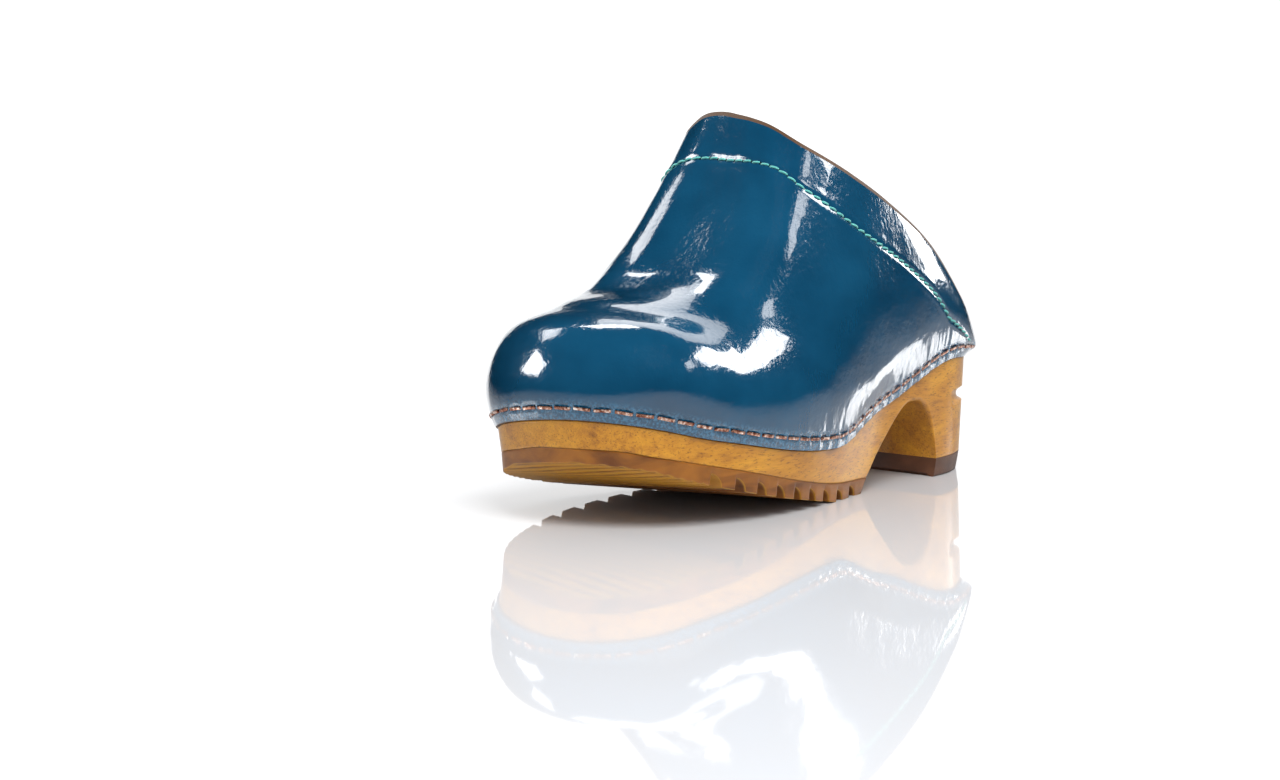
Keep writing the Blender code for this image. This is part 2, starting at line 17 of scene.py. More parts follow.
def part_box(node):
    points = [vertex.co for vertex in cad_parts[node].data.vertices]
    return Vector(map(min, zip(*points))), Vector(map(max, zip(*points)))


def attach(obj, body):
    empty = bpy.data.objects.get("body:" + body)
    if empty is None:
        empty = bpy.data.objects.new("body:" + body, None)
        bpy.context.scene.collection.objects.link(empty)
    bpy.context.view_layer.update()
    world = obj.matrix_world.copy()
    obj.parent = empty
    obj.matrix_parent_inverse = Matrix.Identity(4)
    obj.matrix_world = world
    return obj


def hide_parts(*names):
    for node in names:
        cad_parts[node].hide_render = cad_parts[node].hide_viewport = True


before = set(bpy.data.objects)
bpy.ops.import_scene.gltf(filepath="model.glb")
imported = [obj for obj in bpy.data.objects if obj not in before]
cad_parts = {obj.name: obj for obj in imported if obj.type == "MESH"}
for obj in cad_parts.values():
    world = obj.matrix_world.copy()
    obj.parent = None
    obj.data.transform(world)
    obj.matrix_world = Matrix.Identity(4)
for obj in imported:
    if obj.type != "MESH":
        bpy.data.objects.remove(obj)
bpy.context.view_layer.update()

# %% [markdown]
# ## The camera
# The clog is looked at from its outer front quarter, from a little above the floor, through a long
# lens. The camera is made first, because every later choice of light is judged through it.

# %% Camera
VIEW_AZIMUTH = 42.0  # degrees round from straight in front, towards the outer side
VIEW_PITCH = 6.57  # degrees down
CAMERA_PLACE = (0.6657, -0.8133, 0.1639)
LENS = 70.6  # millimetres, on a sensor 36 millimetres wide

camera = bpy.data.objects.new("camera", bpy.data.cameras.new("camera"))
bpy.context.scene.collection.objects.link(camera)
camera.location = CAMERA_PLACE
camera.rotation_euler = (math.radians(90 - VIEW_PITCH), 0, math.radians(VIEW_AZIMUTH))
camera.data.sensor_width = 36.0
camera.data.lens = LENS
bpy.context.scene.camera = camera
print("camera at", CAMERA_PLACE)

# %% [markdown]
# ## Smooth curves from a few points
# A shoemaker works from a last: a few measured sections with fair curves between them. Three small
# functions do the same here. `hermite` is cubic interpolation that works on plain numbers as well as on
# whole ribs, `curve_through` gives evenly spaced points on a fair curve, and `monotone` reads a height
# from a table without any overshoot, which keeps flat stretches flat.

# %% Curves
def smooth(value, low, high):
    t = np.clip((np.asarray(value, float) - low) / (high - low), 0, 1)
    return t * t * (3 - 2 * t)


def hermite(values, slopes, knots, at):
    """Cubic interpolation of rows of values, whatever shape a row has."""
    k = np.clip(np.searchsorted(knots, at, side="right") - 1, 0, len(knots) - 2)
    wide = (slice(None),) + (None,) * (values.ndim - 1)
    h = (knots[k + 1] - knots[k])[wide]
    t = (at - knots[k])[wide] / h
    start, leave = (1 + 2 * t) * (1 - t) ** 2, t * (1 - t) ** 2 * h
    end, arrive = t * t * (3 - 2 * t), t * t * (t - 1) * h
    return start * values[k] + leave * slopes[k] + end * values[k + 1] + arrive * slopes[k + 1]


def curve_through(points, closed=False, samples=600):
    p = np.asarray(points, float)
    if closed:
        p = np.vstack([p[-3:], p, p[:3]])
    knots = np.concatenate([[0], np.cumsum(np.sqrt(np.linalg.norm(np.diff(p, axis=0), axis=1)))])
    slope = np.gradient(p, knots, axis=0, edge_order=2)
    first, last = (knots[3], knots[-3]) if closed else (knots[0], knots[-1])
    dense = hermite(p, slope, knots, np.linspace(first, last, samples * 4))
    run = length_along(dense)
    return np.stack([np.interp(np.linspace(0, run[-1], samples), run, c) for c in dense.T], axis=-1)


def length_along(points):
    return np.concatenate([[0], np.cumsum(np.linalg.norm(np.diff(points, axis=0), axis=1))])


def monotone(table, at):
    y, z = np.array(table, float).T
    rise = np.diff(z) / np.diff(y)
    slope = np.concatenate([rise[:1], np.zeros(len(z) - 2), rise[-1:]])
    same = rise[1:] * rise[:-1] > 0
    slope[1:-1][same] = 2 / (1 / rise[1:][same] + 1 / rise[:-1][same])
    at = np.clip(np.asarray(at, float), y[0], y[-1])
    return hermite(z, slope, y, at.ravel()).reshape(at.shape)


# %% [markdown]
# ## The sole's lines
# These are the driving lines of the shape, in millimetres on the maker's own axes: the toe tip at 0, the
# heel at SOLE_LENGTH, +x the outer side and the ground at 0. The outline is the wood's edge seen from
# above; the tables give heights along it. They are read in a slanted distance near the ball, because the
# ball line of a foot runs forward to its inner side.

# %% Lines of the sole
MM = 0.001
SOLE_LENGTH = 256.0
SPINE_FRONT, SPINE_BACK = 34.0, 224.0
OUTSOLE_END = 154.0
HEEL_BREAST = 210.0
HEEL_SEAT = 8.3
FORE_DRAFT, HEEL_DRAFT = 0.135, 0.04  # how far the wall leans in, per millimetre below the ledge
BALL_SLANT = 0.33
BALL_CHANGE = (100.0, 151.0)

OUTLINE = [
    (-10, 0), (16, 4), (38, 21), (49.5, 50), (51.5, 83.5), (45.5, 124.5), (38, 165), (35.5, 200),
    (31.5, 228), (18.5, 249), (-0.5, 256), (-19.5, 249), (-33, 228), (-35, 200), (-35, 165),
    (-40.5, 119.5), (-48.5, 84.5), (-52.5, 54.5), (-47.5, 23.5), (-32, 6),
]
LEDGE = [
    (-20, 49), (-0.8, 42.6), (8.4, 39.7), (21, 35.8), (39, 31.9), (60, 27.9), (79.5, 25.1),
    (96.5, 23.7), (110, 23.5), (124, 25.6), (138, 29.5), (155, 34.0), (171, 37.8), (191.5, 44.9),
    (205, 49.2), (217, 51.5), (237, 51.0), (260, 50.4),
]
FORE_UNDERSIDE = [
    (-15, 35), (-1.3, 31.9), (2.6, 31.3), (8.5, 29.1), (20.6, 25.9), (38.7, 21.7), (59.5, 17.0),
    (76.5, 13.3), (98, 9.8), (129, 7.2), (OUTSOLE_END, 6.4),
]
ARCH_UNDERSIDE = [
    (OUTSOLE_END, 6.4), (159, 11.6), (164, 17.0), (170.5, 23.8), (176.5, 29.6), (182.5, 34.0),
    (187, 35.4), (193, 35.4), (199, 32.6), (203, 27.8), (205.5, 22.8), (208, 16.5),
    (HEEL_BREAST, HEEL_SEAT),
]
TREAD = [
    (-15, 29), (-1.5, 26.4), (8, 23.5), (20, 18.7), (37.5, 14.0), (47, 11.7), (59, 9.1), (71.5, 6.6),
    (84, 4.5), (98.5, 2.3), (110, 1.0), (120, 0), (OUTSOLE_END, 0),
]


def slanted(x, y, start, end):
    return y - BALL_SLANT * x * (1 - smooth(y, start, end))


def ledge_height(x, y):
    at = slanted(x, y, 110, 170)
    table = np.array(LEDGE, float)
    return hermite(table[:, 1], np.gradient(table[:, 1], table[:, 0]), table[:, 0], at)


def underside_height(x, y):
    at = slanted(x, y, *BALL_CHANGE)
    ahead = monotone(FORE_UNDERSIDE, at)
    behind = np.where(at < HEEL_BREAST, monotone(ARCH_UNDERSIDE, at), HEEL_SEAT)
    return np.where(at <= OUTSOLE_END, ahead, behind)


def draft(y):
    return FORE_DRAFT + (HEEL_DRAFT - FORE_DRAFT) * smooth(y, 130, 200)


def tread_height(x, y):
    return monotone(TREAD, slanted(x, y, *BALL_CHANGE))


outline = curve_through(OUTLINE, closed=True, samples=1600)[:-1]
wood_low, wood_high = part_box("wooden_sole")
frame_origin = np.array([
    (outline[:, 0].min() + outline[:, 0].max() - (wood_low.x + wood_high.x) / MM) / 2,
    SOLE_LENGTH - wood_high.y / MM,
    0.0,
])
print("the frame's origin on the maker's axes:", np.round(frame_origin, 2))


# %% [markdown]
# ## Shader maths as plain expressions
# A finish is easier to read as a formula than as a web of nodes. `Signal` wraps the socket of a number
# that varies over a surface, so `1 - grain * 0.4` simply adds the Math nodes it stands for. `Finish`
# holds one material, and its `node` method makes every other node: type, settings, then sockets.

# %% Signals and finishes
class Signal:
    def __init__(self, finish, socket):
        self.finish = finish
        self.socket = socket

    def math(self, operation, first, second):
        return self.finish.node("Math", {"operation": operation}, {0: first, 1: second})

    def __add__(self, other):
        return self.math("ADD", self, other)

    def __sub__(self, other):
        return self.math("SUBTRACT", self, other)

    def __rsub__(self, other):
        return self.math("SUBTRACT", other, self)

    def __mul__(self, other):
        return self.math("MULTIPLY", self, other)

    def __pow__(self, other):
        return self.math("POWER", self, other)

    __radd__ = __add__
    __rmul__ = __mul__

    def above(self, low, high):
        """0 below low, 1 above high, and a soft step between."""
        return self.finish.node(
            "MapRange", {"interpolation_type": "SMOOTHSTEP"},
            {"Value": self, "From Min": low, "From Max": high},
        )


class Finish:
    """One material. Its shader is added last, by `shade`."""

    def __init__(self, name):
        self.material = bpy.data.materials.new(name)
        self.material.use_nodes = True
        self.tree = self.material.node_tree
        self.tree.nodes.clear()

    def node(self, kind, settings=(), sockets=(), output=0):
        made = self.tree.nodes.new("ShaderNode" + kind)
        for name, value in dict(settings).items():
            if name == "stops":
                self.set_stops(made.color_ramp, value)
            else:
                setattr(made, name, value)
        for name, value in dict(sockets).items():
            if isinstance(value, Signal):
                self.tree.links.new(value.socket, made.inputs[name])
            else:
                made.inputs[name].default_value = value
        return Signal(self, made.outputs[output])

    def set_stops(self, ramp, stops):
        while len(ramp.elements) < len(stops):
            ramp.elements.new(0.5)
        for element, (place, colour) in zip(ramp.elements, stops):
            element.position = place
            element.color = (*colour, 1)

    def place(self, scale=(1, 1, 1), turn=(0, 0, 0)):
        """Object coordinates, stretched by scale: features are 1 / scale metres apart."""
        where = self.node("TexCoord", output=3)
        return self.node("Mapping", {}, {"Vector": where, "Scale": scale, "Rotation": turn})

    def noise(self, vector, detail=2.0, roughness=0.5, warp=0.0):
        sockets = {
            "Vector": vector, "Scale": 1.0, "Detail": detail, "Roughness": roughness, "Distortion": warp,
        }
        return self.node("TexNoise", {}, sockets)

    def mix(self, share, low, high, blend="MIX"):
        low, high = ((*c, 1) if isinstance(c, tuple) else c for c in (low, high))
        return self.node("Mix", {"data_type": "RGBA", "blend_type": blend}, {0: share, 6: low, 7: high}, 2)

    def ramp(self, signal, *stops):
        return self.node("ValToRGB", {"stops": stops}, {"Fac": signal})

    def attribute(self, name, output):
        return self.node("Attribute", {"attribute_name": name}, output=output)

    def bump(self, height, depth, strength=1.0):
        return self.node("Bump", {}, {"Height": height, "Distance": depth, "Strength": strength})

    def shade(self, **sockets):
        made = self.node("BsdfPrincipled", {}, {k.replace("_", " "): v for k, v in sockets.items()})
        end = self.tree.nodes.new("ShaderNodeOutputMaterial")
        self.tree.links.new(made.socket, end.inputs["Surface"])
        return self.material


# %% [markdown]
# ## Patent leather
# Patent leather is dyed leather under a thick clear film. The dye gives the petrol blue; the film gives
# the mirror gloss, and it is never quite flat: it has a fine orange peel and, where the leather is
# pulled over the last, shallow creases. Colour varies little, so most of the work is in the normal. The
# band near the staples is crinkled, and its crinkles are painted a paler blue as a painted reflection
# of the white floor. Each stitch hole is painted near black as painted shade inside the hole. Both
# marks follow the surface and not space, so the leather carries them as attributes, in millimetres.

# %% Patent leather finish
STITCH_PITCH = 4.4
HOLE_RADIUS = 0.75


def patent_leather():
    f = Finish("patent_leather")
    cloudy = f.noise(f.place((28, 28, 28)), 3)
    peel = f.noise(f.place((420, 420, 420)), 2)
    crease = f.noise(f.place((150, 150, 60)), 3, 0.6, 0.6)
    above_ledge = f.attribute("above_ledge", 2)
    crinkled = 1 - above_ledge.above(5.5, 9.5)
    crinkle = f.noise(f.place((900, 900, 900)), 4, 0.65)
    phase = f.attribute("stitch_phase", 2)
    across = f.attribute("below_stitch", 2)
    along = (f.node("Math", {"operation": "FRACT"}, {0: phase}) - 0.5) * STITCH_PITCH
    hole_shade = 1 - (along * along + across * across).above(HOLE_RADIUS ** 2 * 0.5, HOLE_RADIUS ** 2 * 1.6)
    blue = f.ramp(cloudy, (0.3, (0.002, 0.038, 0.084)), (0.7, (0.005, 0.062, 0.128)))
    # Painted reflection: the crinkles near the staples are mixed towards a paler blue, standing for the white
    # floor mirrored in them.
    blue = f.mix(crinkled * crinkle.above(0.42, 0.62) * 0.6, blue, (0.05, 0.22, 0.38))
    # Painted shade: each stitch hole is painted near black, standing for the shade inside the hole.
    blue = f.mix(hole_shade, blue, (0.004, 0.012, 0.02))
    height = peel * 0.9 + crease * 1.2 + crinkled * crinkle * 1.6
    return f.shade(
        Base_Color=blue,
        Roughness=0.13 + crinkled * 0.08,
        IOR=1.5,
        Coat_Weight=1.0,
        Coat_Roughness=0.03,
        Coat_IOR=1.5,
        Normal=f.bump(height, 0.00018, 0.9),
    )


leather_finish = patent_leather()
print("finish:", leather_finish.name)

# %% [markdown]
# ## Lacquered wood
# The sole is one block of alder under a golden lacquer. The grain runs along the foot, so its noise is
# stretched along y; short dark flecks are pores cut through, and the lacquer has gone down unevenly in
# brown clouds. On the toe wall and the back of the heel the cutter meets end grain, which the same
# stretched pattern shows as dots by itself, because it is one solid pattern in space.

# %% Wood finish
def lacquered_wood():
    f = Finish("lacquered_wood")
    grain = f.noise(f.place((520, 60, 520)), 5, 0.6, 0.4)
    fleck = f.noise(f.place((1500, 260, 1500)), 3, 0.7)
    cloud = f.noise(f.place((45, 26, 60)), 3, 0.55, 0.8)
    ring = f.noise(f.place((150, 9, 190)), 2, 0.5, 1.5)
    gold = f.ramp(
        grain * 0.45 + cloud * 0.55,
        (0.30, (0.23, 0.078, 0.003)), (0.45, (0.47, 0.190, 0.007)), (0.62, (0.62, 0.285, 0.014)),
    )
    gold = f.mix(ring.above(0.5, 0.75) * 0.35, gold, (0.45, 0.18, 0.02), "MIX")
    gold = f.mix(fleck.above(0.53, 0.68) * 0.75, gold, (0.14, 0.045, 0.003))
    return f.shade(
        Base_Color=gold,
        Roughness=0.42 + cloud * 0.12,
        Coat_Weight=0.25,
        Coat_Roughness=0.2,
        Normal=f.bump(fleck * 0.5 + grain * 0.5, 0.00015, 0.5),
    )


wood_finish = lacquered_wood()
print("finish:", wood_finish.name)

# %% [markdown]
# ## Rubber
# The forefoot tread is amber gum rubber, cloudy inside and a little see-through at its thin edges; the
# heel piece is a denser brown. Gum rubber is light where it is thin, which a low subsurface weight
# gives without any trick. The toe ramp, most of all the crests of its ribs, and the lower edge of the
# tread's wall are painted a light gold as painted highlight.

# %% Rubber finishes
def gum_rubber():
    f = Finish("gum_rubber")
    cloud = f.noise(f.place((70, 30, 110)), 3, 0.6, 0.7)
    dust = f.noise(f.place((1400, 1400, 1400)), 3, 0.6)
    crest_highlight = f.attribute("tread", 2)
    amber = f.ramp(cloud, (0.32, (0.13, 0.038, 0.003)), (0.66, (0.30, 0.105, 0.008)))
    # Painted highlight: where the tread attribute is high, the amber is mixed towards a light gold.
    amber = f.mix(crest_highlight, amber, (0.60, 0.290, 0.018))
    return f.shade(
        Base_Color=amber,
        Roughness=0.36 + dust * 0.2,
        Subsurface_Weight=0.12,
        Subsurface_Radius=(0.004, 0.0015, 0.0004),
        Normal=f.bump(dust, 0.0001, 0.4),
    )


def heel_rubber():
    f = Finish("heel_rubber")
    cloud = f.noise(f.place((90, 90, 160)), 3)
    dust = f.noise(f.place((1300, 1300, 1300)), 3, 0.6)
    brown = f.ramp(cloud, (0.3, (0.070, 0.026, 0.012)), (0.7, (0.130, 0.052, 0.024)))
    return f.shade(Base_Color=brown, Roughness=0.45 + dust * 0.2, Normal=f.bump(dust, 0.0001, 0.5))


gum_finish = gum_rubber()
heel_finish = heel_rubber()
print("finishes:", gum_finish.name, heel_finish.name)

# %% [markdown]
# ## Lining, facing, thread and wire
# Inside, the lining is a soft tan split leather, the collar facing and the painted raw edges are dark
# brown, and the toe puff is a pale stiffener that the lining hides. The thread is twisted, so its
# bump is a slanted wave, and its mint is painted darker in the wave's grooves as painted shade; the
# staples are bright wire that has been nicked by the hammer, with dark red-brown patches in its colour
# that are a painted reflection of dark surroundings.

# %% Small finishes
def brushed_hide(name, dark, light, roughness, nap):
    f = Finish(name)
    cloud = f.noise(f.place((60, 60, 60)), 4, 0.6)
    fibre = f.noise(f.place((1100, 1100, 1100)), 4, 0.7)
    hide = f.mix(fibre * 0.5 + cloud * 0.5, dark, light)
    return f.shade(Base_Color=hide, Roughness=roughness, Sheen_Weight=0.2, Normal=f.bump(fibre, nap, 0.7))


def waxed_thread():
    f = Finish("mint_thread")
    twist_and_groove_shade = f.node("TexWave", {"bands_direction": "DIAGONAL"}, {"Vector": f.place(), "Scale": 900.0})
    # Painted shade: the mint is darker where the twist's wave is low, in the grooves between the plies.
    mint = f.ramp(twist_and_groove_shade, (0.2, (0.05, 0.30, 0.27)), (0.8, (0.16, 0.58, 0.52)))
    return f.shade(Base_Color=mint, Roughness=0.5, Sheen_Weight=0.15, Normal=f.bump(twist_and_groove_shade, 0.0001, 0.6))


def bright_wire():
    f = Finish("staple_wire")
    dark_reflection_patches = f.noise(f.place((600, 600, 600)), 3, 0.6)
    nick = f.noise(f.place((2500, 900, 2500)), 2)
    # Painted reflection: the dark red-brown stops of this ramp stand for dark surroundings mirrored in the
    # wire.
    copper = f.ramp(
        dark_reflection_patches, (0.38, (0.16, 0.045, 0.025)), (0.52, (0.50, 0.26, 0.18)), (0.66, (0.86, 0.76, 0.68)),
    )
    rough = 0.2 + nick * 0.2
    return f.shade(Base_Color=copper, Metallic=1.0, Roughness=rough, Normal=f.bump(nick, 0.00005, 0.5))


lining_finish = brushed_hide("lining_leather", (0.30, 0.19, 0.10), (0.52, 0.38, 0.23), 0.85, 0.0002)
facing_finish = brushed_hide("facing_leather", (0.055, 0.024, 0.009), (0.125, 0.058, 0.022), 0.6, 0.0001)
puff_finish = brushed_hide("toe_stiffener", (0.45, 0.42, 0.34), (0.62, 0.60, 0.52), 0.8, 0.0001)
thread_finish = waxed_thread()
wire_finish = bright_wire()
print("finishes:", lining_finish.name, facing_finish.name, thread_finish.name, wire_finish.name)


# %% [markdown]
# ## From grids of points to closed pieces
# Most pieces are grids: stations round the shoe, and rows or rings at each station. Writing the mesh
# straight from arrays is quick even at a hundred thousand points, and it lets a piece carry
# attributes. `finished_piece` merges the doubles, turns the faces outwards, puts the piece under the
# root body and hides the imported solids that it stands for.

# %% Mesh helpers
def grid_faces(stations, rows, offset=0, wrap=False, flip=False):
    """Quads of a grid stored station by station."""
    i = np.arange(stations if wrap else stations - 1)[:, None]
    j = np.arange(rows - 1)[None, :]
    a, b = i * rows + j, (i + 1) % stations * rows + j
    quads = np.stack([a, b, b + 1, a + 1], axis=-1).reshape(-1, 4) + offset
    return [tuple(q) for q in (quads[:, ::-1] if flip else quads).tolist()]


def finished_piece(name, points, faces, finish, nodes, attributes=(), sharp=40, extra=None):
    mesh = bpy.data.meshes.new(name)
    mesh.from_pydata((np.asarray(points) - frame_origin) * MM, [], faces)
    for key, values in dict(attributes).items():
        layer = mesh.attributes.new(key, "FLOAT", "POINT")
        layer.data.foreach_set("value", np.asarray(values, np.float32).ravel())
    mesh.materials.append(finish)
    if extra is not None:
        second, chosen = extra
        mesh.materials.append(second)
        mesh.polygons.foreach_set("material_index", np.asarray(chosen, np.int32))
    build = bmesh.new()
    build.from_mesh(mesh)
    bmesh.ops.remove_doubles(build, verts=build.verts, dist=2e-6)
    bmesh.ops.recalc_face_normals(build, faces=build.faces)
    if build.calc_volume(signed=True) < 0:
        bmesh.ops.reverse_faces(build, faces=build.faces)
    open_edges = sum(not edge.is_manifold for edge in build.edges)
    build.to_mesh(mesh)
    build.free()
    mesh.shade_smooth()
    mesh.set_sharp_from_angle(angle=math.radians(sharp))
    made = bpy.data.objects.new(name, mesh)
    bpy.context.scene.collection.objects.link(made)
    return settled(made, nodes, open_edges)


def settled(made, nodes, open_edges=0):
    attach(made, "root")
    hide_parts(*nodes)
    triangles = sum(len(p.vertices) - 2 for p in made.data.polygons)
    print(f"{made.name}: {triangles} triangles, {open_edges} open edges")
    return made


# %% [markdown]
# ## The wooden sole
# A sole is turned on a copying lathe and then cut flat underneath. It could be a sculpted block, but
# every section across it is alike: bed, rim, ledge, wall, underside. So the whole body is made of
# stations round the outline, and each station carries one profile from the middle of the bed over the
# wall to the middle of the underside. Points move only along the line from the outline to the spine,
# so rings never cross, and a straight edge such as the heel's breast stays straight.

# %% Stations round the outline
STATION_STEP = 1.35


def on_side(side, y):
    mine = outline[outline[:, 0] * side > 0]
    mine = mine[np.argsort(mine[:, 1])]
    return np.interp(y, mine[:, 1], mine[:, 0])


def round_end(centre_y, angles):
    offset = outline - (0.0, centre_y)
    turn = np.arctan2(offset[:, 1], offset[:, 0]) % (2 * math.pi)
    order = np.argsort(turn)
    reach = np.interp(angles, turn[order], np.linalg.norm(offset, axis=1)[order], period=2 * math.pi)
    return np.stack([reach * np.cos(angles), centre_y + reach * np.sin(angles)], axis=-1)


def rows_between(places, step):
    parts = [np.linspace(a, b, round((b - a) / step), endpoint=False) for a, b in zip(places, places[1:])]
    return np.concatenate(parts + [places[-1:]])


def fan(centre_y, start, step):
    count = round(math.pi * 40 / step)
    angles = start + math.pi * np.arange(1, count) / count
    return round_end(centre_y, angles), np.full((count - 1, 2), (0.0, centre_y))


def side_rows(side, rows):
    edge = np.stack([on_side(side, rows), rows], axis=-1)
    return edge, np.stack([np.zeros_like(rows), rows], axis=-1)


class Ring:
    """Stations round the outline, with the spine point that each faces."""

    def __init__(self, parts):
        self.edge = np.concatenate([edge for edge, spine in parts])
        self.spine = np.concatenate([spine for edge, spine in parts])
        along = np.gradient(self.edge, axis=0)
        inward = np.stack([-along[:, 1], along[:, 0]], axis=-1)
        inward /= np.linalg.norm(inward, axis=1, keepdims=True)
        toward = self.spine - self.edge
        self.reach = np.linalg.norm(toward, axis=1)
        self.toward = toward / self.reach[:, None]
        self.slope = np.clip(np.abs((inward * self.toward).sum(axis=1)), 0.5, 1)

    def inset(self, depth):
        """The stations moved in by a depth square to the outline."""
        return self.edge + self.toward * (np.broadcast_to(depth, len(self.edge)) / self.slope)[:, None]


whole_ring = Ring([
    side_rows(1, rows_between([SPINE_FRONT, OUTSOLE_END, HEEL_BREAST, SPINE_BACK], STATION_STEP)),
    fan(SPINE_BACK, 0.0, STATION_STEP),
    side_rows(-1, rows_between([SPINE_FRONT, OUTSOLE_END, HEEL_BREAST, SPINE_BACK], STATION_STEP)[::-1]),
    fan(SPINE_FRONT, math.pi, STATION_STEP),
])
print("stations round the sole:", len(whole_ring.edge))

# %% [markdown]
# The bed is not flat. It is dished for the heel, swells under the inner arch and behind the toes, and
# rolls up into a rim that the lining is tacked against. Those are three soft mounds added to a bowl.

# %% Profile of the sole
RIM_HEIGHT = 8.0
RIM_WIDTH = 5.0
LEDGE_WIDTH = 4.6
LEDGE_END = (247.5, 250.5)
BED_DISH = 3.2
GROOVE_HEIGHT = 34.0
GROOVE_RADIUS = 3.0
GROOVE_DEPTH = 2.6
GROOVE_START = (222.0, 227.0)


def bed_height(plan, rim, share):
    """Height of the footbed where share is 0 on the spine and 1 at the rim."""
    x, y = plan.T
    middle = ledge_height(np.zeros_like(y), y) + RIM_HEIGHT - BED_DISH
    arch = 2.2 * np.exp(-((y - 168) / 26) ** 2) * smooth(-x, 4, 26)
    toes = 1.2 * np.exp(-((y - 62) / 12) ** 2) * (1 - smooth(np.abs(x), 20, 44))
    bowl = middle + (arch + toes) * (1 - share ** 4)
    return bowl + (rim - bowl) * share ** 3.2


def groove(plan, height):
    """How far the pulling groove round the heel cuts in."""
    cut = np.sqrt(np.clip(1 - ((height - GROOVE_HEIGHT) / GROOVE_RADIUS) ** 2, 0, 1))
    return GROOVE_DEPTH * cut * smooth(plan[:, 1], *GROOVE_START)


def wood_layers(ring):
    edge = ring.edge
    ledge = ledge_height(*edge.T)
    mask = 1 - smooth(edge[:, 1], *LEDGE_END)
    step = LEDGE_WIDTH * mask
    riser = ring.inset(step)
    foot_of_riser = np.where(mask > 0, ledge_height(*riser.T), ledge)
    rim = foot_of_riser + RIM_HEIGHT
    inner = ring.inset(step + RIM_WIDTH)
    layers = []
    for share in np.linspace(0, 1, 20)[:-1]:
        plan = ring.spine + (inner - ring.spine) * share
        layers.append((plan, bed_height(plan, rim - 1.1, share)))
    roll = 1.6
    for turn in np.radians([0, 22, 45, 68, 90]):
        layers.append((ring.inset(step + roll * (1 - math.sin(turn))), rim - roll * (1 - math.cos(turn))))
    layers[-6] = (ring.inset(step + RIM_WIDTH * 0.55), rim - 0.35)
    for share in (0.4, 0.75, 1.0):
        layers.append((riser, (rim - roll) * (1 - share) + foot_of_riser * share))
    soft = 0.5
    for turn in np.radians([0, 30, 60, 90]):
        tuck = np.minimum(soft * (1 - math.sin(turn)), step)
        layers.append((ring.inset(tuck), ledge - soft * (1 - math.cos(turn)) * mask))
    return layers, ledge


def make_wooden_sole():
    ring = whole_ring
    layers, ledge = wood_layers(ring)
    lean = draft(ring.edge[:, 1])
    lean_end = ring.inset(lean * (ledge - HEEL_SEAT))
    under = underside_height(*lean_end.T)
    for _ in range(3):
        under = underside_height(*ring.inset(lean * (ledge - under)).T)
    arch = smooth(ring.edge[:, 1], OUTSOLE_END + 1, OUTSOLE_END + 8)
    arch *= 1 - smooth(ring.edge[:, 1], HEEL_BREAST - 5, HEEL_BREAST - 0.5)
    soft = 0.45 + 1.5 * arch
    for share in np.linspace(0, 1, 46)[1:]:
        height = ledge - 0.5 + (under + soft - ledge + 0.5) * share
        depth = lean * (ledge - height) + groove(ring.edge, height)
        layers.append((ring.inset(depth), height))
    for turn in np.radians([22, 45, 68, 90]):
        depth = lean * (ledge - under) + soft * (1 - math.cos(turn))
        layers.append((ring.inset(depth), under + soft * (1 - math.sin(turn))))
    foot = layers[-1][0]
    for share in np.linspace(0, 1, 22)[1:]:
        plan = foot + (ring.spine - foot) * share
        layers.append((plan, underside_height(*plan.T)))
    grid = np.stack([np.column_stack([plan, height]) for plan, height in layers], axis=1)
    faces = grid_faces(*grid.shape[:2], wrap=True)
    return finished_piece(
        "wooden_sole_carved", grid.reshape(-1, 3), faces, wood_finish, ["wooden_sole"],
        sharp=42,
    )


make_wooden_sole()

# %% [markdown]
# ## The rubber treads
# The forefoot tread follows the rocker of the wood. At the toe it is a ramp with shallow ribs across
# it, and from there back it has teeth whose backs are steep and whose fronts are scooped, so that the
# clog rolls forward and still grips. Its height under each point is a formula of the distance back
# from the toe, and stations only 0.6 mm apart are enough to draw it. The heel piece is cut the same way.

# %% Treads
LUG_PITCH = 12.0
LUG_COUNT = 9
LUG_DEPTH = 4.8
LUG_FLAT = 0.5  # share of the pitch that stands on the ground
LUG_BACK = 0.06
LUG_LAST = 150.0  # the rubber slopes up behind the last lug
RAMP_RIB = 4.4
RAMP_DEPTH = 0.55
WEB_MINIMUM = 1.3
LUG_START = LUG_LAST - LUG_COUNT * LUG_PITCH


def lug_cut(y):
    """How much of the full depth is cut away: 0 under a lug, 1 at the top of a gap."""
    t = ((LUG_LAST - y) / LUG_PITCH) % 1.0
    front = np.clip((t - LUG_FLAT) / (1 - LUG_FLAT - LUG_BACK), 0, 1)
    scoop = np.sqrt(1 - (1 - front) ** 2)
    back = np.clip((1 - t) / LUG_BACK, 0, 1)
    cut = np.where(t < LUG_FLAT, 0, np.minimum(scoop, back))
    toothed = cut * (y > LUG_START - 0.5) * (y < LUG_LAST)
    return toothed + np.clip((y - LUG_LAST) / (OUTSOLE_END - LUG_LAST), 0, 1)


def rib_cut(y):
    wave = 0.5 + 0.5 * np.cos(2 * math.pi * y / RAMP_RIB)
    return wave ** 2 * (1 - smooth(y, LUG_START - 3, LUG_START)) * smooth(y, 1.5, 4)


def tread_surface(plan, roof):
    open_height = tread_height(*plan.T) + LUG_DEPTH * lug_cut(plan[:, 1]) + RAMP_DEPTH * rib_cut(plan[:, 1])
    return np.minimum(open_height, roof - WEB_MINIMUM)


def closed_back(grid):
    """The flat face that joins the first and last station of a grid that doesn't run all round."""
    stations, rows = grid.shape[:2]
    first = list(range(rows))
    last = [(stations - 1) * rows + j for j in range(rows - 2, 0, -1)]
    return [tuple(first + last)]


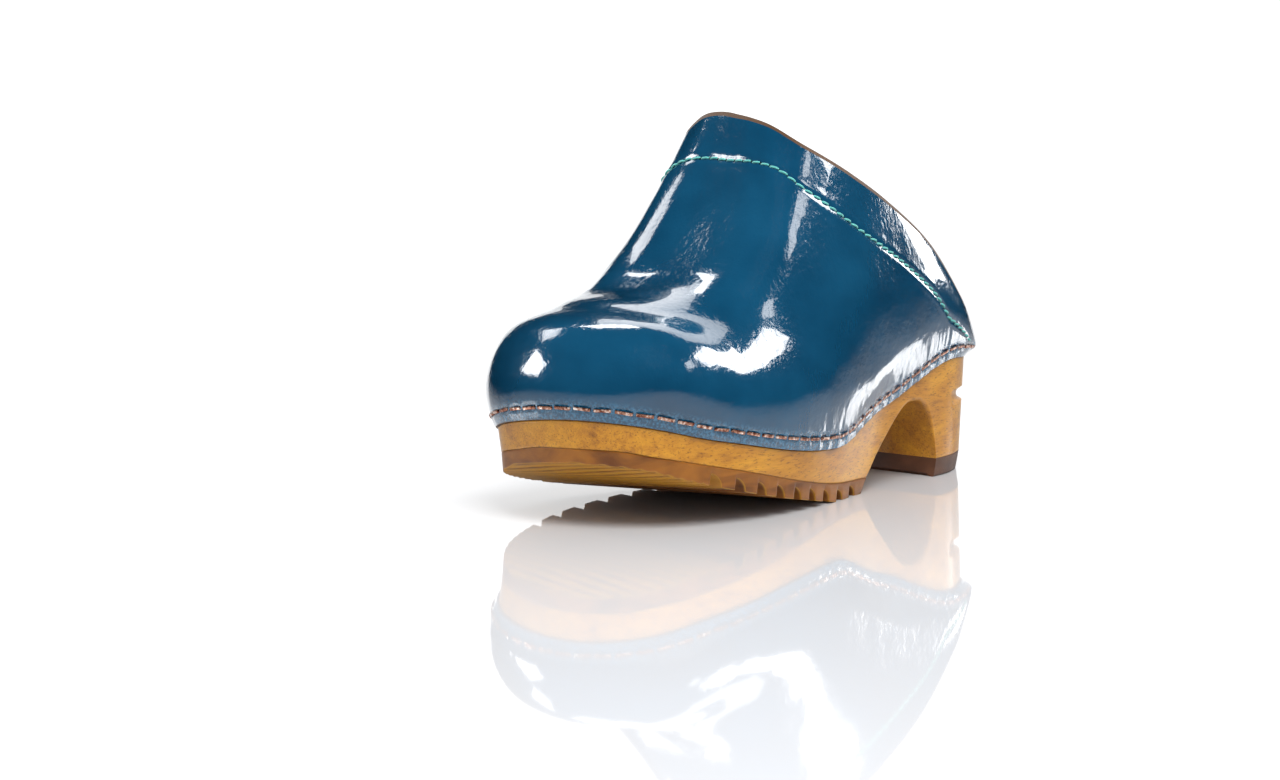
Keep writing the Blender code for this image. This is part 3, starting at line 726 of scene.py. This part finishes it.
def make_forefoot_outsole():
    rows = rows_between([SPINE_FRONT, LUG_START, LUG_LAST, OUTSOLE_END], LUG_PITCH / 20)
    ring = Ring([side_rows(-1, rows[::-1]), fan(SPINE_FRONT, math.pi, 1.2), side_rows(1, rows)])
    ledge = ledge_height(*ring.edge.T)
    lean = draft(ring.edge[:, 1])
    under = underside_height(*ring.inset(lean * (ledge - 12)).T)
    lean = lean * (ledge - under)
    roof = underside_height(*ring.inset(lean).T) - 0.02
    low = ring.inset(lean + 0.75)
    bottom = tread_surface(low, roof)
    layers = []
    for share in np.linspace(0, 1, 5):
        plan = ring.spine + (ring.inset(lean + 0.35) - ring.spine) * share
        layers.append((plan, underside_height(*plan.T) - 0.02))
    layers.append((ring.inset(lean + 0.1), roof - 0.08))
    for share in np.linspace(0, 1, 9):
        height = (roof - 0.35) * (1 - share) + (bottom + 0.45) * share
        layers.append((ring.inset(lean + 0.5 * share), height))
    layers.append((ring.inset(lean + 0.6), bottom + 0.18))
    layers.append((ring.inset(lean + 0.95), bottom))
    foot = ring.inset(lean + 0.95)
    shares = np.concatenate([np.linspace(0, 1, 61)[1:]])
    for share in shares:
        plan = foot + (ring.spine - foot) * share
        layers.append((plan, tread_surface(plan, underside_height(*plan.T) - 0.02)))
    grid = np.stack([np.column_stack([plan, height]) for plan, height in layers], axis=1)
    # The tread attribute places painted highlight: high on the toe ramp's rib crests, fading out behind the
    # first lug, and 0.7 on the lower edge of the wall.
    crest = np.zeros(grid.shape[:2])
    y = grid[:, 17:, 1]
    crest[:, 17:] = (1 - rib_cut(y.ravel()).reshape(y.shape)) * (1 - smooth(y, LUG_START, LUG_START + 12))
    crest[:, 15:17] = 0.7
    faces = grid_faces(*grid.shape[:2]) + closed_back(grid)
    return finished_piece(
        "forefoot_tread", grid.reshape(-1, 3), faces, gum_finish, ["forefoot_outsole"],
        attributes={"tread": crest * 0.8}, sharp=42,
    )


LIFT_TAPER = 1.1
LIFT_ROUND = 1.2  # radius of the edge that meets the ground


def make_heel_lift():
    rows = rows_between([HEEL_BREAST, SPINE_BACK], 0.8)
    ring = Ring([side_rows(1, rows), fan(SPINE_BACK, 0.0, 1.2), side_rows(-1, rows[::-1])])
    lean = HEEL_DRAFT * (ledge_height(*ring.edge.T) - HEEL_SEAT)
    layers = [(ring.spine + (ring.inset(lean + 0.3) - ring.spine) * s, np.full(len(lean), HEEL_SEAT - 0.02))
              for s in np.linspace(0, 1, 5)]
    for share in np.linspace(0, 1, 8):
        height = (HEEL_SEAT - 0.3) * (1 - share) + LIFT_ROUND * share
        layers.append((ring.inset(lean + LIFT_TAPER * share), np.full(len(lean), height)))
    for turn in np.radians([30, 60, 90]):
        moved, height = LIFT_ROUND * (1 - math.cos(turn)), LIFT_ROUND * (1 - math.sin(turn))
        layers.append((ring.inset(lean + LIFT_TAPER + moved), np.full(len(lean), height)))
    foot = layers[-1][0]
    for share in np.linspace(0, 1, 31)[1:]:
        plan = foot + (ring.spine - foot) * share
        wave = np.clip(np.cos(2 * math.pi * (plan[:, 1] - HEEL_BREAST) / 6.0) * 2 - 0.6, 0, 1)
        layers.append((plan, 1.4 * wave * smooth(share, 0.03, 0.12)))
    grid = np.stack([np.column_stack([plan, height]) for plan, height in layers], axis=1)
    faces = grid_faces(*grid.shape[:2]) + closed_back(grid)
    return finished_piece(
        "heel_lift_cut", grid.reshape(-1, 3), faces, heel_finish, ["heel_top_lift"], sharp=42,
    )


make_forefoot_outsole()
make_heel_lift()

# %% [markdown]
# ## The last: ribs under the upper
# The upper has no drawing of its own. It takes the shape of the last that it was pulled over, so the
# last is what is described: ribs that climb from the ledge to the topline, from the outer back corner
# round the toe to the inner back corner. One fair surface is lofted through them, and every layer of
# the upper is that surface moved in by the layers outside it.

# %% Ribs of the last
RIBS = [
    [(25.5, 247, 51), (27, 247, 53), (27.5, 247, 54.5), (27.5, 247, 56.5)],
    [(30, 236.5, 51.5), (32, 237, 56), (32.5, 237, 60.5), (31.5, 238, 64.5)],
    [(34.5, 224.5, 52), (36, 225.5, 60), (36, 226, 68), (33.5, 227.5, 77)],
    [(36.5, 202.5, 49), (40, 202, 66), (39.5, 202, 84), (35, 201.5, 102)],
    [(40, 174, 39), (44, 173, 63), (42.5, 172, 92), (36, 171, 120.5)],
    [(45.5, 142.5, 27.5), (48.5, 141.5, 54.5), (46, 141, 90.5), (33.5, 142.5, 135.5)],
    [(50.5, 112.5, 24), (52.5, 111.5, 49.5), (46, 111, 85.5), (24.5, 122, 147.5)],
    [(52.5, 83.5, 27), (54, 82.5, 51), (42, 86.5, 80.5), (33.5, 99.5, 111.5), (13.5, 118, 154)],
    [(50.5, 54.5, 32), (51.5, 53.5, 56), (36, 69.5, 80.5), (25, 90.5, 107.5), (4, 117, 157)],
    [(40.5, 21, 39.5), (42.5, 19.5, 57), (36, 27.5, 74.5), (23.5, 46.5, 82.5), (12, 79.5, 99.5),
     (-4, 116.5, 158.5)],
    [(-2, -0.5, 43), (-2.5, -2.5, 58), (-4, 9.5, 76.5), (-6.5, 33.5, 84.5), (-7.5, 72, 95),
     (-12, 116.5, 159.5)],
    [(-42, 14, 34), (-46.5, 12.5, 52), (-42, 19.5, 72), (-30.5, 37.5, 82.5), (-23, 72, 97.5),
     (-20, 116.5, 158.5)],
    [(-51, 37.5, 28.5), (-54.5, 37.5, 51), (-39.5, 56.5, 81.5), (-33, 82.5, 105), (-27, 118, 155.5)],
    [(-53, 59.5, 25), (-55, 60.5, 48), (-46.5, 71.5, 82), (-39, 91.5, 109.5), (-33.5, 119, 150.5)],
    [(-48.5, 89.5, 21.5), (-53, 90.5, 48), (-48, 94, 85), (-37, 122, 144)],
    [(-41, 121.5, 22.5), (-48, 120.5, 51), (-46.5, 121, 90), (-40, 130.5, 135.5)],
    [(-36.5, 152, 32), (-44, 151, 61), (-45.5, 150, 93), (-41.5, 152.5, 127.5)],
    [(-36, 182, 42), (-41.5, 181, 65.5), (-43.5, 180, 89.5), (-40.5, 179.5, 114.5)],
    [(-36, 208.5, 50.5), (-40.5, 208, 65.5), (-41, 207, 81.5), (-38.5, 206.5, 97)],
    [(-34.5, 224.5, 52), (-37, 225.5, 60), (-37.5, 226, 68), (-35.5, 227.5, 77)],
    [(-31, 236.5, 51.5), (-32.5, 236.5, 56), (-33.5, 237, 60.5), (-33, 238, 64.5)],
    [(-26.5, 247, 51), (-28, 247, 53), (-28.5, 247, 54.5), (-28.5, 247, 56.5)],
]
RIB_SAMPLES = 241
LEATHER_PROUD = 0.8
SEAT_BLEND = 25.0
FACING_WIDTH = 27.0
STITCH_INSET = (21.0, 25.0)  # below the topline, at the front of the opening and along its sides


def seated(ribs):
    """Puts the foot of every rib over the ledge's edge, and eases the wall above it along."""
    along = np.roll(outline, -1, axis=0) - np.roll(outline, 1, axis=0)
    outward = np.stack([along[:, 1], -along[:, 0]], axis=-1)
    edge = outline + LEATHER_PROUD * outward / np.linalg.norm(outward, axis=1, keepdims=True)
    foot = ribs[:, 0]
    plan = edge[np.linalg.norm(foot[:, None, :2] - edge[None], axis=2).argmin(axis=1)]
    target = np.column_stack([plan, ledge_height(*plan.T) + 0.15])
    run = np.linalg.norm(np.diff(ribs, axis=1), axis=2).cumsum(axis=1)
    run = np.concatenate([np.zeros((len(ribs), 1)), run], axis=1)
    fade = 1 - smooth(run, 0, np.minimum(SEAT_BLEND, 0.8 * run[:, -1:]))
    return ribs + fade[..., None] * (target - foot)[:, None]


def lofted_ribs(count):
    fine = np.array([curve_through(rib, samples=RIB_SAMPLES) for rib in RIBS])
    spread = np.linalg.norm(np.diff(fine, axis=0), axis=2).mean(axis=1)
    knots = np.concatenate([[0], np.cumsum(np.sqrt(spread))])
    run = np.concatenate([[0], np.cumsum(spread)])
    at = np.interp(np.linspace(0, run[-1], count), run, knots)
    return seated(hermite(fine, np.gradient(fine, knots, axis=0, edge_order=2), knots, at))


class Last:
    """The lofted surface read at rows: zone by zone from the ledge to the topline."""

    def __init__(self, stations, band_rows, wall_rows, collar_rows):
        ribs = lofted_ribs(stations)
        length = np.linalg.norm(np.diff(ribs, axis=1), axis=2).sum(axis=1)
        band = np.minimum(12 / length, 0.35)
        facing = np.clip(1 - FACING_WIDTH / length, 0.4, 1)
        front, side = STITCH_INSET
        inset = front + (side - front) * smooth(ribs[:, -1, 1], 116, 145)
        self.stitch = np.clip(1 - inset / length, 0.45, 1)
        zones = [(0 * band, band, band_rows), (band, facing, wall_rows), (facing, 0 * band + 1, collar_rows)]
        rows = [a + (b - a) * k / count for a, b, count in zones for k in range(count)]
        self.facing_row = band_rows + wall_rows
        self.share = np.stack(rows + [0 * band + 1], axis=1)
        self.length = length
        at = self.share * (RIB_SAMPLES - 1)
        whole = np.minimum(at.astype(int), RIB_SAMPLES - 2)
        pick = np.arange(stations)[:, None]
        part = (at - whole)[..., None]
        self.grid = ribs[pick, whole] * (1 - part) + ribs[pick, whole + 1] * part
        normal = np.cross(np.gradient(self.grid, axis=1), np.gradient(self.grid, axis=0))
        self.normal = normal / np.linalg.norm(normal, axis=2, keepdims=True)
        self.above = self.share * length[:, None]
        self.below = (1 - self.share) * length[:, None]
        self.run = length_along(self.row_at(self.above, STAPLE_LINE))

    def row_at(self, measure, value):
        """The surface where a measure up each rib has a value, lower on ribs too short for it."""
        most = 0.45 * self.length
        found = [
            [np.interp(min(value, most[i]), measure[i], column) for column in self.grid[i].T]
            for i in range(len(self.grid))
        ]
        return np.array(found)

    def normal_at(self, points):
        found = []
        for i, point in enumerate(points):
            j = np.linalg.norm(self.grid[i] - point, axis=1).argmin()
            found.append(self.normal[i, j])
        return np.array(found)

    def under(self, depth):
        """The surface moved in by a depth, with its lowest row kept on the ledge."""
        sheet = self.grid - self.normal * np.broadcast_to(depth, self.grid.shape[:2])[..., None]
        sheet[:, 0, 2] = ledge_height(sheet[:, 0, 0], sheet[:, 0, 1]) + 0.15
        return sheet


STAPLE_LINE = 5.0
last = Last(stations=500, band_rows=20, wall_rows=92, collar_rows=30)
print("staple row:", round(last.run[-1], 1), "mm long; surface:", last.grid.shape[:2])

# %% [markdown]
# ## The leather vamp
# One piece of leather about 1.9 mm thick, pulled over the last, stapled, trimmed and sewn to its
# facing. Its face is the lofted surface plus small moves along the normal: a nip under each staple and
# a puff between two, a dent along the sewn line, pleats where the leather was pulled down to the
# ledge, and a slow waviness that breaks up long reflections. These are real moves of points, since
# a mirror finish shows a tenth of a millimetre. The flesh side needs no detail, so it has few rows.

# %% Leather
LEATHER_THICK = 1.9
STAPLES = 70
STAPLE_CROWN = 6.6
STITCH_ENDS = 18  # stations of the surface without stitching at each back corner


def staple_places(run):
    return np.linspace(STAPLE_CROWN, run[-1] - STAPLE_CROWN, STAPLES)


def field(points, size, offset=0.0):
    """Soft noise between -1 and 1 with features of a size per axis, in millimetres."""
    scaled = points.reshape(-1, 3) / size + offset
    return np.array([noise.noise(Vector(p)) for p in scaled]).reshape(points.shape[:-1])


def leather_relief(last):
    run = last.run[:, None]
    places = staple_places(last.run)
    near = np.abs(run - places[None, :]).min(axis=1)[:, None]
    pitch = places[1] - places[0]
    gap = np.exp(-((near - pitch / 2) / 0.8) ** 2)
    crown = 1 - smooth(near, 2.9, 3.7)
    band = np.exp(-((last.above - STAPLE_LINE) / 1.5) ** 2)
    tall = smooth(last.length[:, None], 14, 40)
    nip = band * (0.30 * gap - 0.42 * crown)
    hem = (1 - smooth(last.above, 2.0, 6.0)) * (0.16 + 0.22 * gap)
    pleats = field(np.dstack([run + 0 * last.above, 0.12 * last.above, 0 * last.above]), 2.3, 7.0)
    pleats *= 0.13 * np.exp(-((last.above - 7) / 9) ** 2)
    seam = last.below - (1 - last.stitch[:, None]) * last.length[:, None]
    dent = -0.32 * np.exp(-(seam / 1.1) ** 2) + 0.12 * np.exp(-((np.abs(seam) - 3.0) / 2.0) ** 2)
    slow = 0.22 * field(last.grid, 24.0, 3.0) + 0.07 * field(last.grid, 9.0, 11.0)
    fine = 0.018 * field(last.grid, 3.4, 19.0)
    return (nip + hem) * np.minimum(tall + 0.3, 1) + pleats * tall + dent * tall + (slow + fine) * tall, seam


def make_vamp():
    relief, seam = leather_relief(last)
    face = last.grid + last.normal * relief[..., None]
    stations, rows = face.shape[:2]
    flesh_rows = np.unique(np.concatenate([[0, 4, 9], np.linspace(14, rows - 1, 16).astype(int)]))
    flesh = last.under(LEATHER_THICK)[:, flesh_rows]
    up = face[:, -1] - face[:, -2]
    up /= np.linalg.norm(up, axis=1, keepdims=True)
    mid_top = (face[:, -1] + flesh[:, -1]) / 2 + up * 0.25
    count = len(flesh_rows)
    points = np.concatenate([face.reshape(-1, 3), flesh.reshape(-1, 3), mid_top])
    faces = grid_faces(stations, rows)
    skin = len(faces)
    start, crest = stations * rows, stations * (rows + count)
    faces += grid_faces(stations, count, offset=start, flip=True)
    for i in range(stations - 1):
        a, b = i * rows, (i + 1) * rows
        c, d = start + i * count, start + (i + 1) * count
        faces.append((b, a, c, d))
        faces.append((a + rows - 1, b + rows - 1, crest + i + 1, crest + i))
        faces.append((crest + i, crest + i + 1, d + count - 1, c + count - 1))
    for i, turned in ((0, False), (stations - 1, True)):
        end = [i * rows + j for j in range(rows)] + [crest + i]
        end += [start + i * count + j for j in range(count - 1, -1, -1)]
        faces.append(tuple(end if turned else end[::-1]))
    phase = stitch_phase(stitch_line(last))[0][:, None] + 0 * relief
    fill = np.zeros(len(points) - relief.size)
    attributes = {
        "above_ledge": np.concatenate([last.above.ravel(), fill]),
        "stitch_phase": np.concatenate([phase.ravel(), fill]),
        "below_stitch": np.concatenate([seam.ravel(), fill + 99]),
    }
    cut_edge = np.tile(np.arange(rows - 1) >= rows - 3, stations - 1)
    chosen = np.concatenate([cut_edge, np.ones(len(faces) - skin)])
    return finished_piece(
        "vamp_pulled", points, faces, leather_finish, ["vamp"],
        attributes=attributes, sharp=50, extra=(facing_finish, chosen),
    )


def stitch_line(last):
    found = [
        [np.interp(share, last.share[i], column) for column in last.grid[i].T]
        for i, share in enumerate(last.stitch)
    ]
    return np.array(found)


def stitch_phase(line):
    """Stitches counted along the line, whole in the middle of a stitch, and how many there are."""
    along = length_along(line)
    first, final = along[STITCH_ENDS], along[-STITCH_ENDS - 1]
    steps = round((final - first) / STITCH_PITCH)
    return (along - first) / (final - first) * steps, steps + 1


make_vamp()

# %% [markdown]
# ## Lining, facing and toe puff
# Behind the leather lie three more layers. The facing is the dark band inside the collar whose edge
# shows above the leather as a thin brown line; the lining fills the rest, and the toe puff keeps the
# toe box from collapsing. Each is the last's surface again, moved in by what is outside it, with its
# own thickness, so nothing cuts into its neighbour.

# %% Inner layers
LINING_THICK = 1.2
PUFF_THICK = 0.8
EDGE_RISE = 0.7
TOE_SHARE = (0.36, 0.64)
PUFF_TOP = 26  # rows of the surface that the puff climbs

inner_last = Last(stations=220, band_rows=5, wall_rows=40, collar_rows=10)


def sheet_piece(name, outer, inner, finish, node):
    stations, rows = outer.shape[:2]
    points = np.concatenate([outer.reshape(-1, 3), inner.reshape(-1, 3)])
    far = stations * rows
    faces = grid_faces(stations, rows) + grid_faces(stations, rows, offset=far, flip=True)
    rim = [i * rows for i in range(stations)] + [(stations - 1) * rows + j for j in range(1, rows)]
    rim += [i * rows + rows - 1 for i in range(stations - 2, -1, -1)] + list(range(rows - 2, 0, -1))
    faces += [(b, a, a + far, b + far) for a, b in zip(rim, rim[1:] + rim[:1])]
    return finished_piece(name, points, faces, finish, [node], sharp=50)


def make_inner_layers():
    stations, rows = inner_last.grid.shape[:2]
    place = np.linspace(0, 1, stations)[:, None]
    begun = smooth(place, TOE_SHARE[0] - 0.02, TOE_SHARE[0])
    over_toe = begun * (1 - smooth(place, TOE_SHARE[1], TOE_SHARE[1] + 0.02))
    low = 1 - smooth(np.arange(rows)[None, :], PUFF_TOP, PUFF_TOP + 4)
    outside = LEATHER_THICK + 0.08 + (PUFF_THICK + 0.1) * over_toe * low
    split = inner_last.facing_row
    outer, inner = inner_last.under(outside), inner_last.under(outside + LINING_THICK)
    lift = inner_last.grid[:, -1] - inner_last.grid[:, -2]
    lift *= EDGE_RISE / np.linalg.norm(lift, axis=1, keepdims=True)
    outer[:, -1] += lift
    inner[:, -1] += lift * 0.6
    sheet_piece(
        "lining", outer[2:-2, :split], inner[2:-2, :split],
        lining_finish, "vamp_lining",
    )
    sheet_piece(
        "collar_band", outer[:, split:], inner[:, split:],
        facing_finish, "collar_facing",
    )
    first, end = (round(share * stations) for share in TOE_SHARE)
    toe = slice(first, end), slice(0, PUFF_TOP)
    sheet_piece(
        "puff", inner_last.under(LEATHER_THICK + 0.04)[toe],
        inner_last.under(LEATHER_THICK + PUFF_THICK)[toe],
        puff_finish, "toe_puff",
    )


make_inner_layers()

# %% [markdown]
# ## Stitches and staples with Geometry Nodes
# Both rows repeat one small unit along a line on the leather, and a unit has to stand square to the
# leather wherever it is. That is a job for Geometry Nodes. The path is a polyline that carries the
# leather's normal as an attribute; the tree turns it to a curve, cuts it into equal steps, turns one
# unit at each step, and gives the whole row its finish. Both rows use the same tree with other inputs.

# %% One tree for both rows
TREE_INPUTS = {
    "Path": "NodeSocketGeometry", "Unit": "NodeSocketObject", "Count": "NodeSocketInt",
    "Lay": "NodeSocketFloat", "Unevenness": "NodeSocketFloat", "Seed": "NodeSocketInt",
    "Finish": "NodeSocketMaterial",
}


def build_row_tree():
    tree = bpy.data.node_groups.new("row_along_path", "GeometryNodeTree")
    for name, kind in TREE_INPUTS.items():
        tree.interface.new_socket(name, in_out="INPUT", socket_type=kind)
    tree.interface.new_socket("Row", in_out="OUTPUT", socket_type="NodeSocketGeometry")

    def node(kind, settings=(), sockets=()):
        made = tree.nodes.new(kind)
        for name, value in dict(settings).items():
            setattr(made, name, value)
        for name, value in dict(sockets).items():
            if isinstance(value, bpy.types.NodeSocket):
                tree.links.new(value, made.inputs[name])
            else:
                made.inputs[name].default_value = value
        return made

    given = node("NodeGroupInput").outputs
    curve = node("GeometryNodeMeshToCurve", {}, {"Mesh": given["Path"]}).outputs["Curve"]
    steps = node("GeometryNodeResampleCurve", {}, {"Curve": curve, "Count": given["Count"]}).outputs["Curve"]
    tangent = node("GeometryNodeInputTangent").outputs["Tangent"]
    out = node("GeometryNodeInputNamedAttribute", {"data_type": "FLOAT_VECTOR"}, {"Name": "out"})
    along = node("FunctionNodeAlignRotationToVector", {"axis": "X"}, {"Vector": tangent}).outputs[0]
    square = node(
        "FunctionNodeAlignRotationToVector", {"axis": "Z", "pivot_axis": "X"},
        {"Rotation": along, "Vector": out.outputs["Attribute"]},
    ).outputs[0]
    swing = node("ShaderNodeMath", {"operation": "MULTIPLY"}, {0: given["Unevenness"], 1: -1.0}).outputs[0]
    chance = node("FunctionNodeRandomValue", {"data_type": "FLOAT"}, {"Seed": given["Seed"]})
    tree.links.new(swing, chance.inputs[2])
    tree.links.new(given["Unevenness"], chance.inputs[3])
    turn = node("ShaderNodeMath", {"operation": "ADD"}, {0: given["Lay"], 1: chance.outputs[1]}).outputs[0]
    euler = node("ShaderNodeCombineXYZ", {}, {"Z": turn}).outputs[0]
    local = node("FunctionNodeEulerToRotation", {}, {"Euler": euler}).outputs[0]
    facing = node(
        "FunctionNodeRotateRotation", {"rotation_space": "LOCAL"}, {"Rotation": square, "Rotate By": local},
    ).outputs[0]
    unit = node("GeometryNodeObjectInfo", {}, {"Object": given["Unit"]}).outputs["Geometry"]
    units = node(
        "GeometryNodeInstanceOnPoints", {}, {"Points": steps, "Instance": unit, "Rotation": facing},
    ).outputs["Instances"]
    real = node("GeometryNodeRealizeInstances", {}, {"Geometry": units}).outputs["Geometry"]
    done = node(
        "GeometryNodeSetMaterial", {}, {"Geometry": real, "Material": given["Finish"]},
    ).outputs["Geometry"]
    tree.links.new(done, node("NodeGroupOutput").inputs["Row"])
    return tree


row_tree = build_row_tree()
print("row tree:", len(row_tree.nodes), "nodes")


def mesh_only(name, points, faces=(), edges=()):
    mesh = bpy.data.meshes.new(name)
    mesh.from_pydata(np.asarray(points, float) * MM, list(edges), list(faces))
    made = bpy.data.objects.new(name, mesh)
    bpy.context.scene.collection.objects.link(made)
    return made


def row_piece(name, path, out, unit, count, lay, unevenness, seed, finish, nodes):
    edges = [(i, i + 1) for i in range(len(path) - 1)]
    line = mesh_only(name + "_path", path - frame_origin, edges=edges)
    layer = line.data.attributes.new("out", "FLOAT_VECTOR", "POINT")
    layer.data.foreach_set("vector", np.asarray(out, np.float32).ravel())
    modifier = line.modifiers.new("row", "NODES")
    modifier.node_group = row_tree
    wanted = {
        "Unit": unit, "Count": count, "Lay": lay, "Unevenness": unevenness, "Seed": seed, "Finish": finish,
    }
    for item in row_tree.interface.items_tree:
        if item.in_out == "INPUT" and item.name in wanted:
            modifier[item.identifier] = wanted[item.name]
    graph = bpy.context.evaluated_depsgraph_get()
    mesh = bpy.data.meshes.new_from_object(line.evaluated_get(graph))
    for spent in (line, unit):
        bpy.data.objects.remove(spent)
    mesh.name = name
    mesh.shade_smooth()
    mesh.set_sharp_from_angle(angle=math.radians(60))
    made = bpy.data.objects.new(name, mesh)
    bpy.context.scene.collection.objects.link(made)
    return settled(made, nodes)


def swept(path, half_width, half_thick, corners):
    """A wire with a rounded flat section along a path in the x-z plane."""
    path = np.asarray(path, float)
    along = np.gradient(path, axis=0)
    along /= np.linalg.norm(along, axis=1, keepdims=True)
    side = np.stack([-along[:, 1], along[:, 0]], axis=-1)
    turns = 2 * math.pi * (np.arange(corners) + 0.5) / corners
    width = half_width * np.sign(np.cos(turns)) * np.abs(np.cos(turns)) ** 0.6
    thick = half_thick * np.sign(np.sin(turns)) * np.abs(np.sin(turns)) ** 0.6
    points = [
        (p[0] + s[0] * t, w, p[1] + s[1] * t)
        for p, s in zip(path, side) for w, t in zip(width, thick)
    ]
    count = len(path)
    faces = grid_faces(corners, count, wrap=True)
    index = np.arange(count * corners).reshape(count, corners).T.ravel()
    faces = [tuple(int(index[i]) for i in face) for face in faces]
    faces += [tuple(range(corners)), tuple(range((count - 1) * corners, count * corners))]
    return points, faces


def outward_unit(name, points, faces):
    made = mesh_only(name, points, faces)
    build = bmesh.new()
    build.from_mesh(made.data)
    bmesh.ops.recalc_face_normals(build, faces=build.faces)
    build.to_mesh(made.data)
    build.free()
    return made


# %% [markdown]
# A stitch is a short bow of waxed thread that dives into its hole at both ends and lies a little
# askew, as lockstitch does. A staple is flat wire whose legs turn down into the leather.

# %% Stitches
THREAD_RADIUS = 0.42
STITCH_RELIEF = -0.25  # the row is pulled into the leather
STITCH_LAY = math.radians(9)


def make_stitches():
    reach = STITCH_PITCH * 0.43
    t = np.linspace(-1, 1, 9)
    bow = np.stack([t * reach, 0.45 - 0.85 * np.abs(t) ** 2.6], axis=-1)
    unit = outward_unit("stitch_unit", *swept(bow, THREAD_RADIUS, THREAD_RADIUS, 7))
    line = stitch_line(last)
    used = slice(STITCH_ENDS, -STITCH_ENDS)
    normal = last.normal_at(line)
    path = (line + normal * STITCH_RELIEF)[used]
    return row_piece(
        "topline_stitches", path, normal[used], unit, stitch_phase(line)[1], STITCH_LAY, 0.06, 3,
        thread_finish, ["topline_stitching"],
    )


make_stitches()

# %% Staples
def make_staples():
    half, leg, corner = STAPLE_CROWN / 2, 1.3, 0.45
    turns = np.radians([10, 35, 60, 85])
    bend = [(half - corner + corner * math.sin(a), 0.32 - corner + corner * math.cos(a)) for a in turns]
    right = [(half * 0.4, 0.33)] + bend + [(half, 0.32 - leg)]
    left = [(-x, z) for x, z in reversed(right)]
    unit = outward_unit("staple_unit", *swept(left + [(0, 0.34)] + right, 0.68, 0.26, 8))
    line = last.row_at(last.above, STAPLE_LINE)
    normal = last.normal_at(line)
    places = staple_places(last.run)
    ends = np.linspace(places[0], places[-1], 400)
    path = np.stack([np.interp(ends, last.run, c) for c in line.T], axis=-1)
    out = np.stack([np.interp(ends, last.run, c) for c in normal.T], axis=-1)
    nodes = sorted(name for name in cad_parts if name.startswith("staple_"))
    return row_piece(
        "staple_row", path, out, unit, STAPLES, 0.0, 0.07, 5, wire_finish, nodes,
    )


make_staples()

# %% [markdown]
# ## Floor and light
# Patent leather is drawn by what it reflects, so most of the lamps here are seen only in reflections and
# light nothing. Each of the seven mirror boxes stands where one bright patch of the leather would look
# for it. One soft lamp and the even light of the world do the lighting, and both are hidden from
# reflections, so that the leather stays dark between its patches. A glowing sheet far behind lights
# nothing either: the glossy floor mirrors it and turns white.

# %% Stage
def stage_plane(name, corners, material):
    mesh = bpy.data.meshes.new(name)
    mesh.from_pydata(corners, [], [(0, 1, 2, 3)])
    mesh.materials.append(material)
    made = bpy.data.objects.new(name, mesh)
    bpy.context.scene.collection.objects.link(made)
    return made


def plain_finish(name, colour, roughness, **more):
    return Finish(name).shade(Base_Color=(*colour, 1), Roughness=roughness, **more)


FLOOR_REACH = 6.0
BACK_WALL = 3.0
BACK_HALF, BACK_HIGH = 1.6, 1.0
stage_plane(
    "floor", [(-FLOOR_REACH, -FLOOR_REACH, 0), (FLOOR_REACH, -FLOOR_REACH, 0), (FLOOR_REACH, FLOOR_REACH, 0),
              (-FLOOR_REACH, FLOOR_REACH, 0)],
    plain_finish("white_floor", (0.66, 0.66, 0.67), 0.03, IOR=2.0),
)


def backdrop_plane():
    """A glowing white sheet far behind, which lights nothing but stands in the floor's gloss."""
    a = math.radians(VIEW_AZIMUTH)
    along, away = np.array([math.cos(a), math.sin(a)]), np.array([-math.sin(a), math.cos(a)]) * BACK_WALL
    ends = [away - along * BACK_HALF, away + along * BACK_HALF]
    corners = [(*ends[0], -0.01), (*ends[1], -0.01), (*ends[1], BACK_HIGH), (*ends[0], BACK_HIGH)]
    glow = plain_finish("white_backdrop", (0, 0, 0), 1.0, Emission_Color=(1, 1, 1, 1), Emission_Strength=1.25)
    sheet = stage_plane("backdrop", corners, glow)
    sheet.visible_diffuse = False
    return sheet


backdrop_plane()


def soft_box(name, azimuth, elevation, size, power, glossy=True, distance=1.4, target=(0, -0.02, 0.06)):
    """A lamp seen from the target at an azimuth and elevation, that makes either reflections or light."""
    a, e = math.radians(azimuth), math.radians(elevation)
    back = Vector((math.sin(a) * math.cos(e), -math.cos(a) * math.cos(e), math.sin(e)))
    lamp = bpy.data.lights.new(name, "AREA")
    lamp.shape = "RECTANGLE"
    lamp.size, lamp.size_y = size
    lamp.energy = power
    made = bpy.data.objects.new(name, lamp)
    made.location = Vector(target) + back * distance
    made.rotation_mode = "QUATERNION"
    made.rotation_quaternion = back.to_track_quat("Z", "Y")
    made.visible_glossy, made.visible_diffuse = glossy, not glossy
    bpy.context.scene.collection.objects.link(made)
    return made


def mirror_box(name, azimuth, elevation, size, glow):
    """A lamp that only shows in reflections, as bright as its glow whatever its size."""
    return soft_box(name, azimuth, elevation, size, glow * math.pi * size[0] * size[1])


mirror_box("shine_toe", -54, 25, (0.64, 0.42), 11)
mirror_box("shine_left", -84, 44, (0.42, 0.32), 5)
mirror_box("shine_top", -118, 60, (0.40, 0.26), 9)
mirror_box("shine_collar", 112, 36, (0.28, 0.20), 6)
mirror_box("shine_right", 144, 36, (0.62, 0.30), 12)
mirror_box("shine_back", 200, 50, (1.25, 0.50), 2.6)
mirror_box("shine_low", 169, 10, (0.26, 0.22), 11)
soft_box("fill_front", 58, 54, (0.8, 0.8), 24, glossy=False)

world = bpy.data.worlds.new("studio")
world.use_nodes = True
world.node_tree.nodes["Background"].inputs["Color"].default_value = (0.97, 0.98, 1.0, 1)
world.node_tree.nodes["Background"].inputs["Strength"].default_value = 0.82
world.cycles_visibility.glossy = False
bpy.context.scene.world = world
bpy.context.scene.view_settings.view_transform = "Standard"
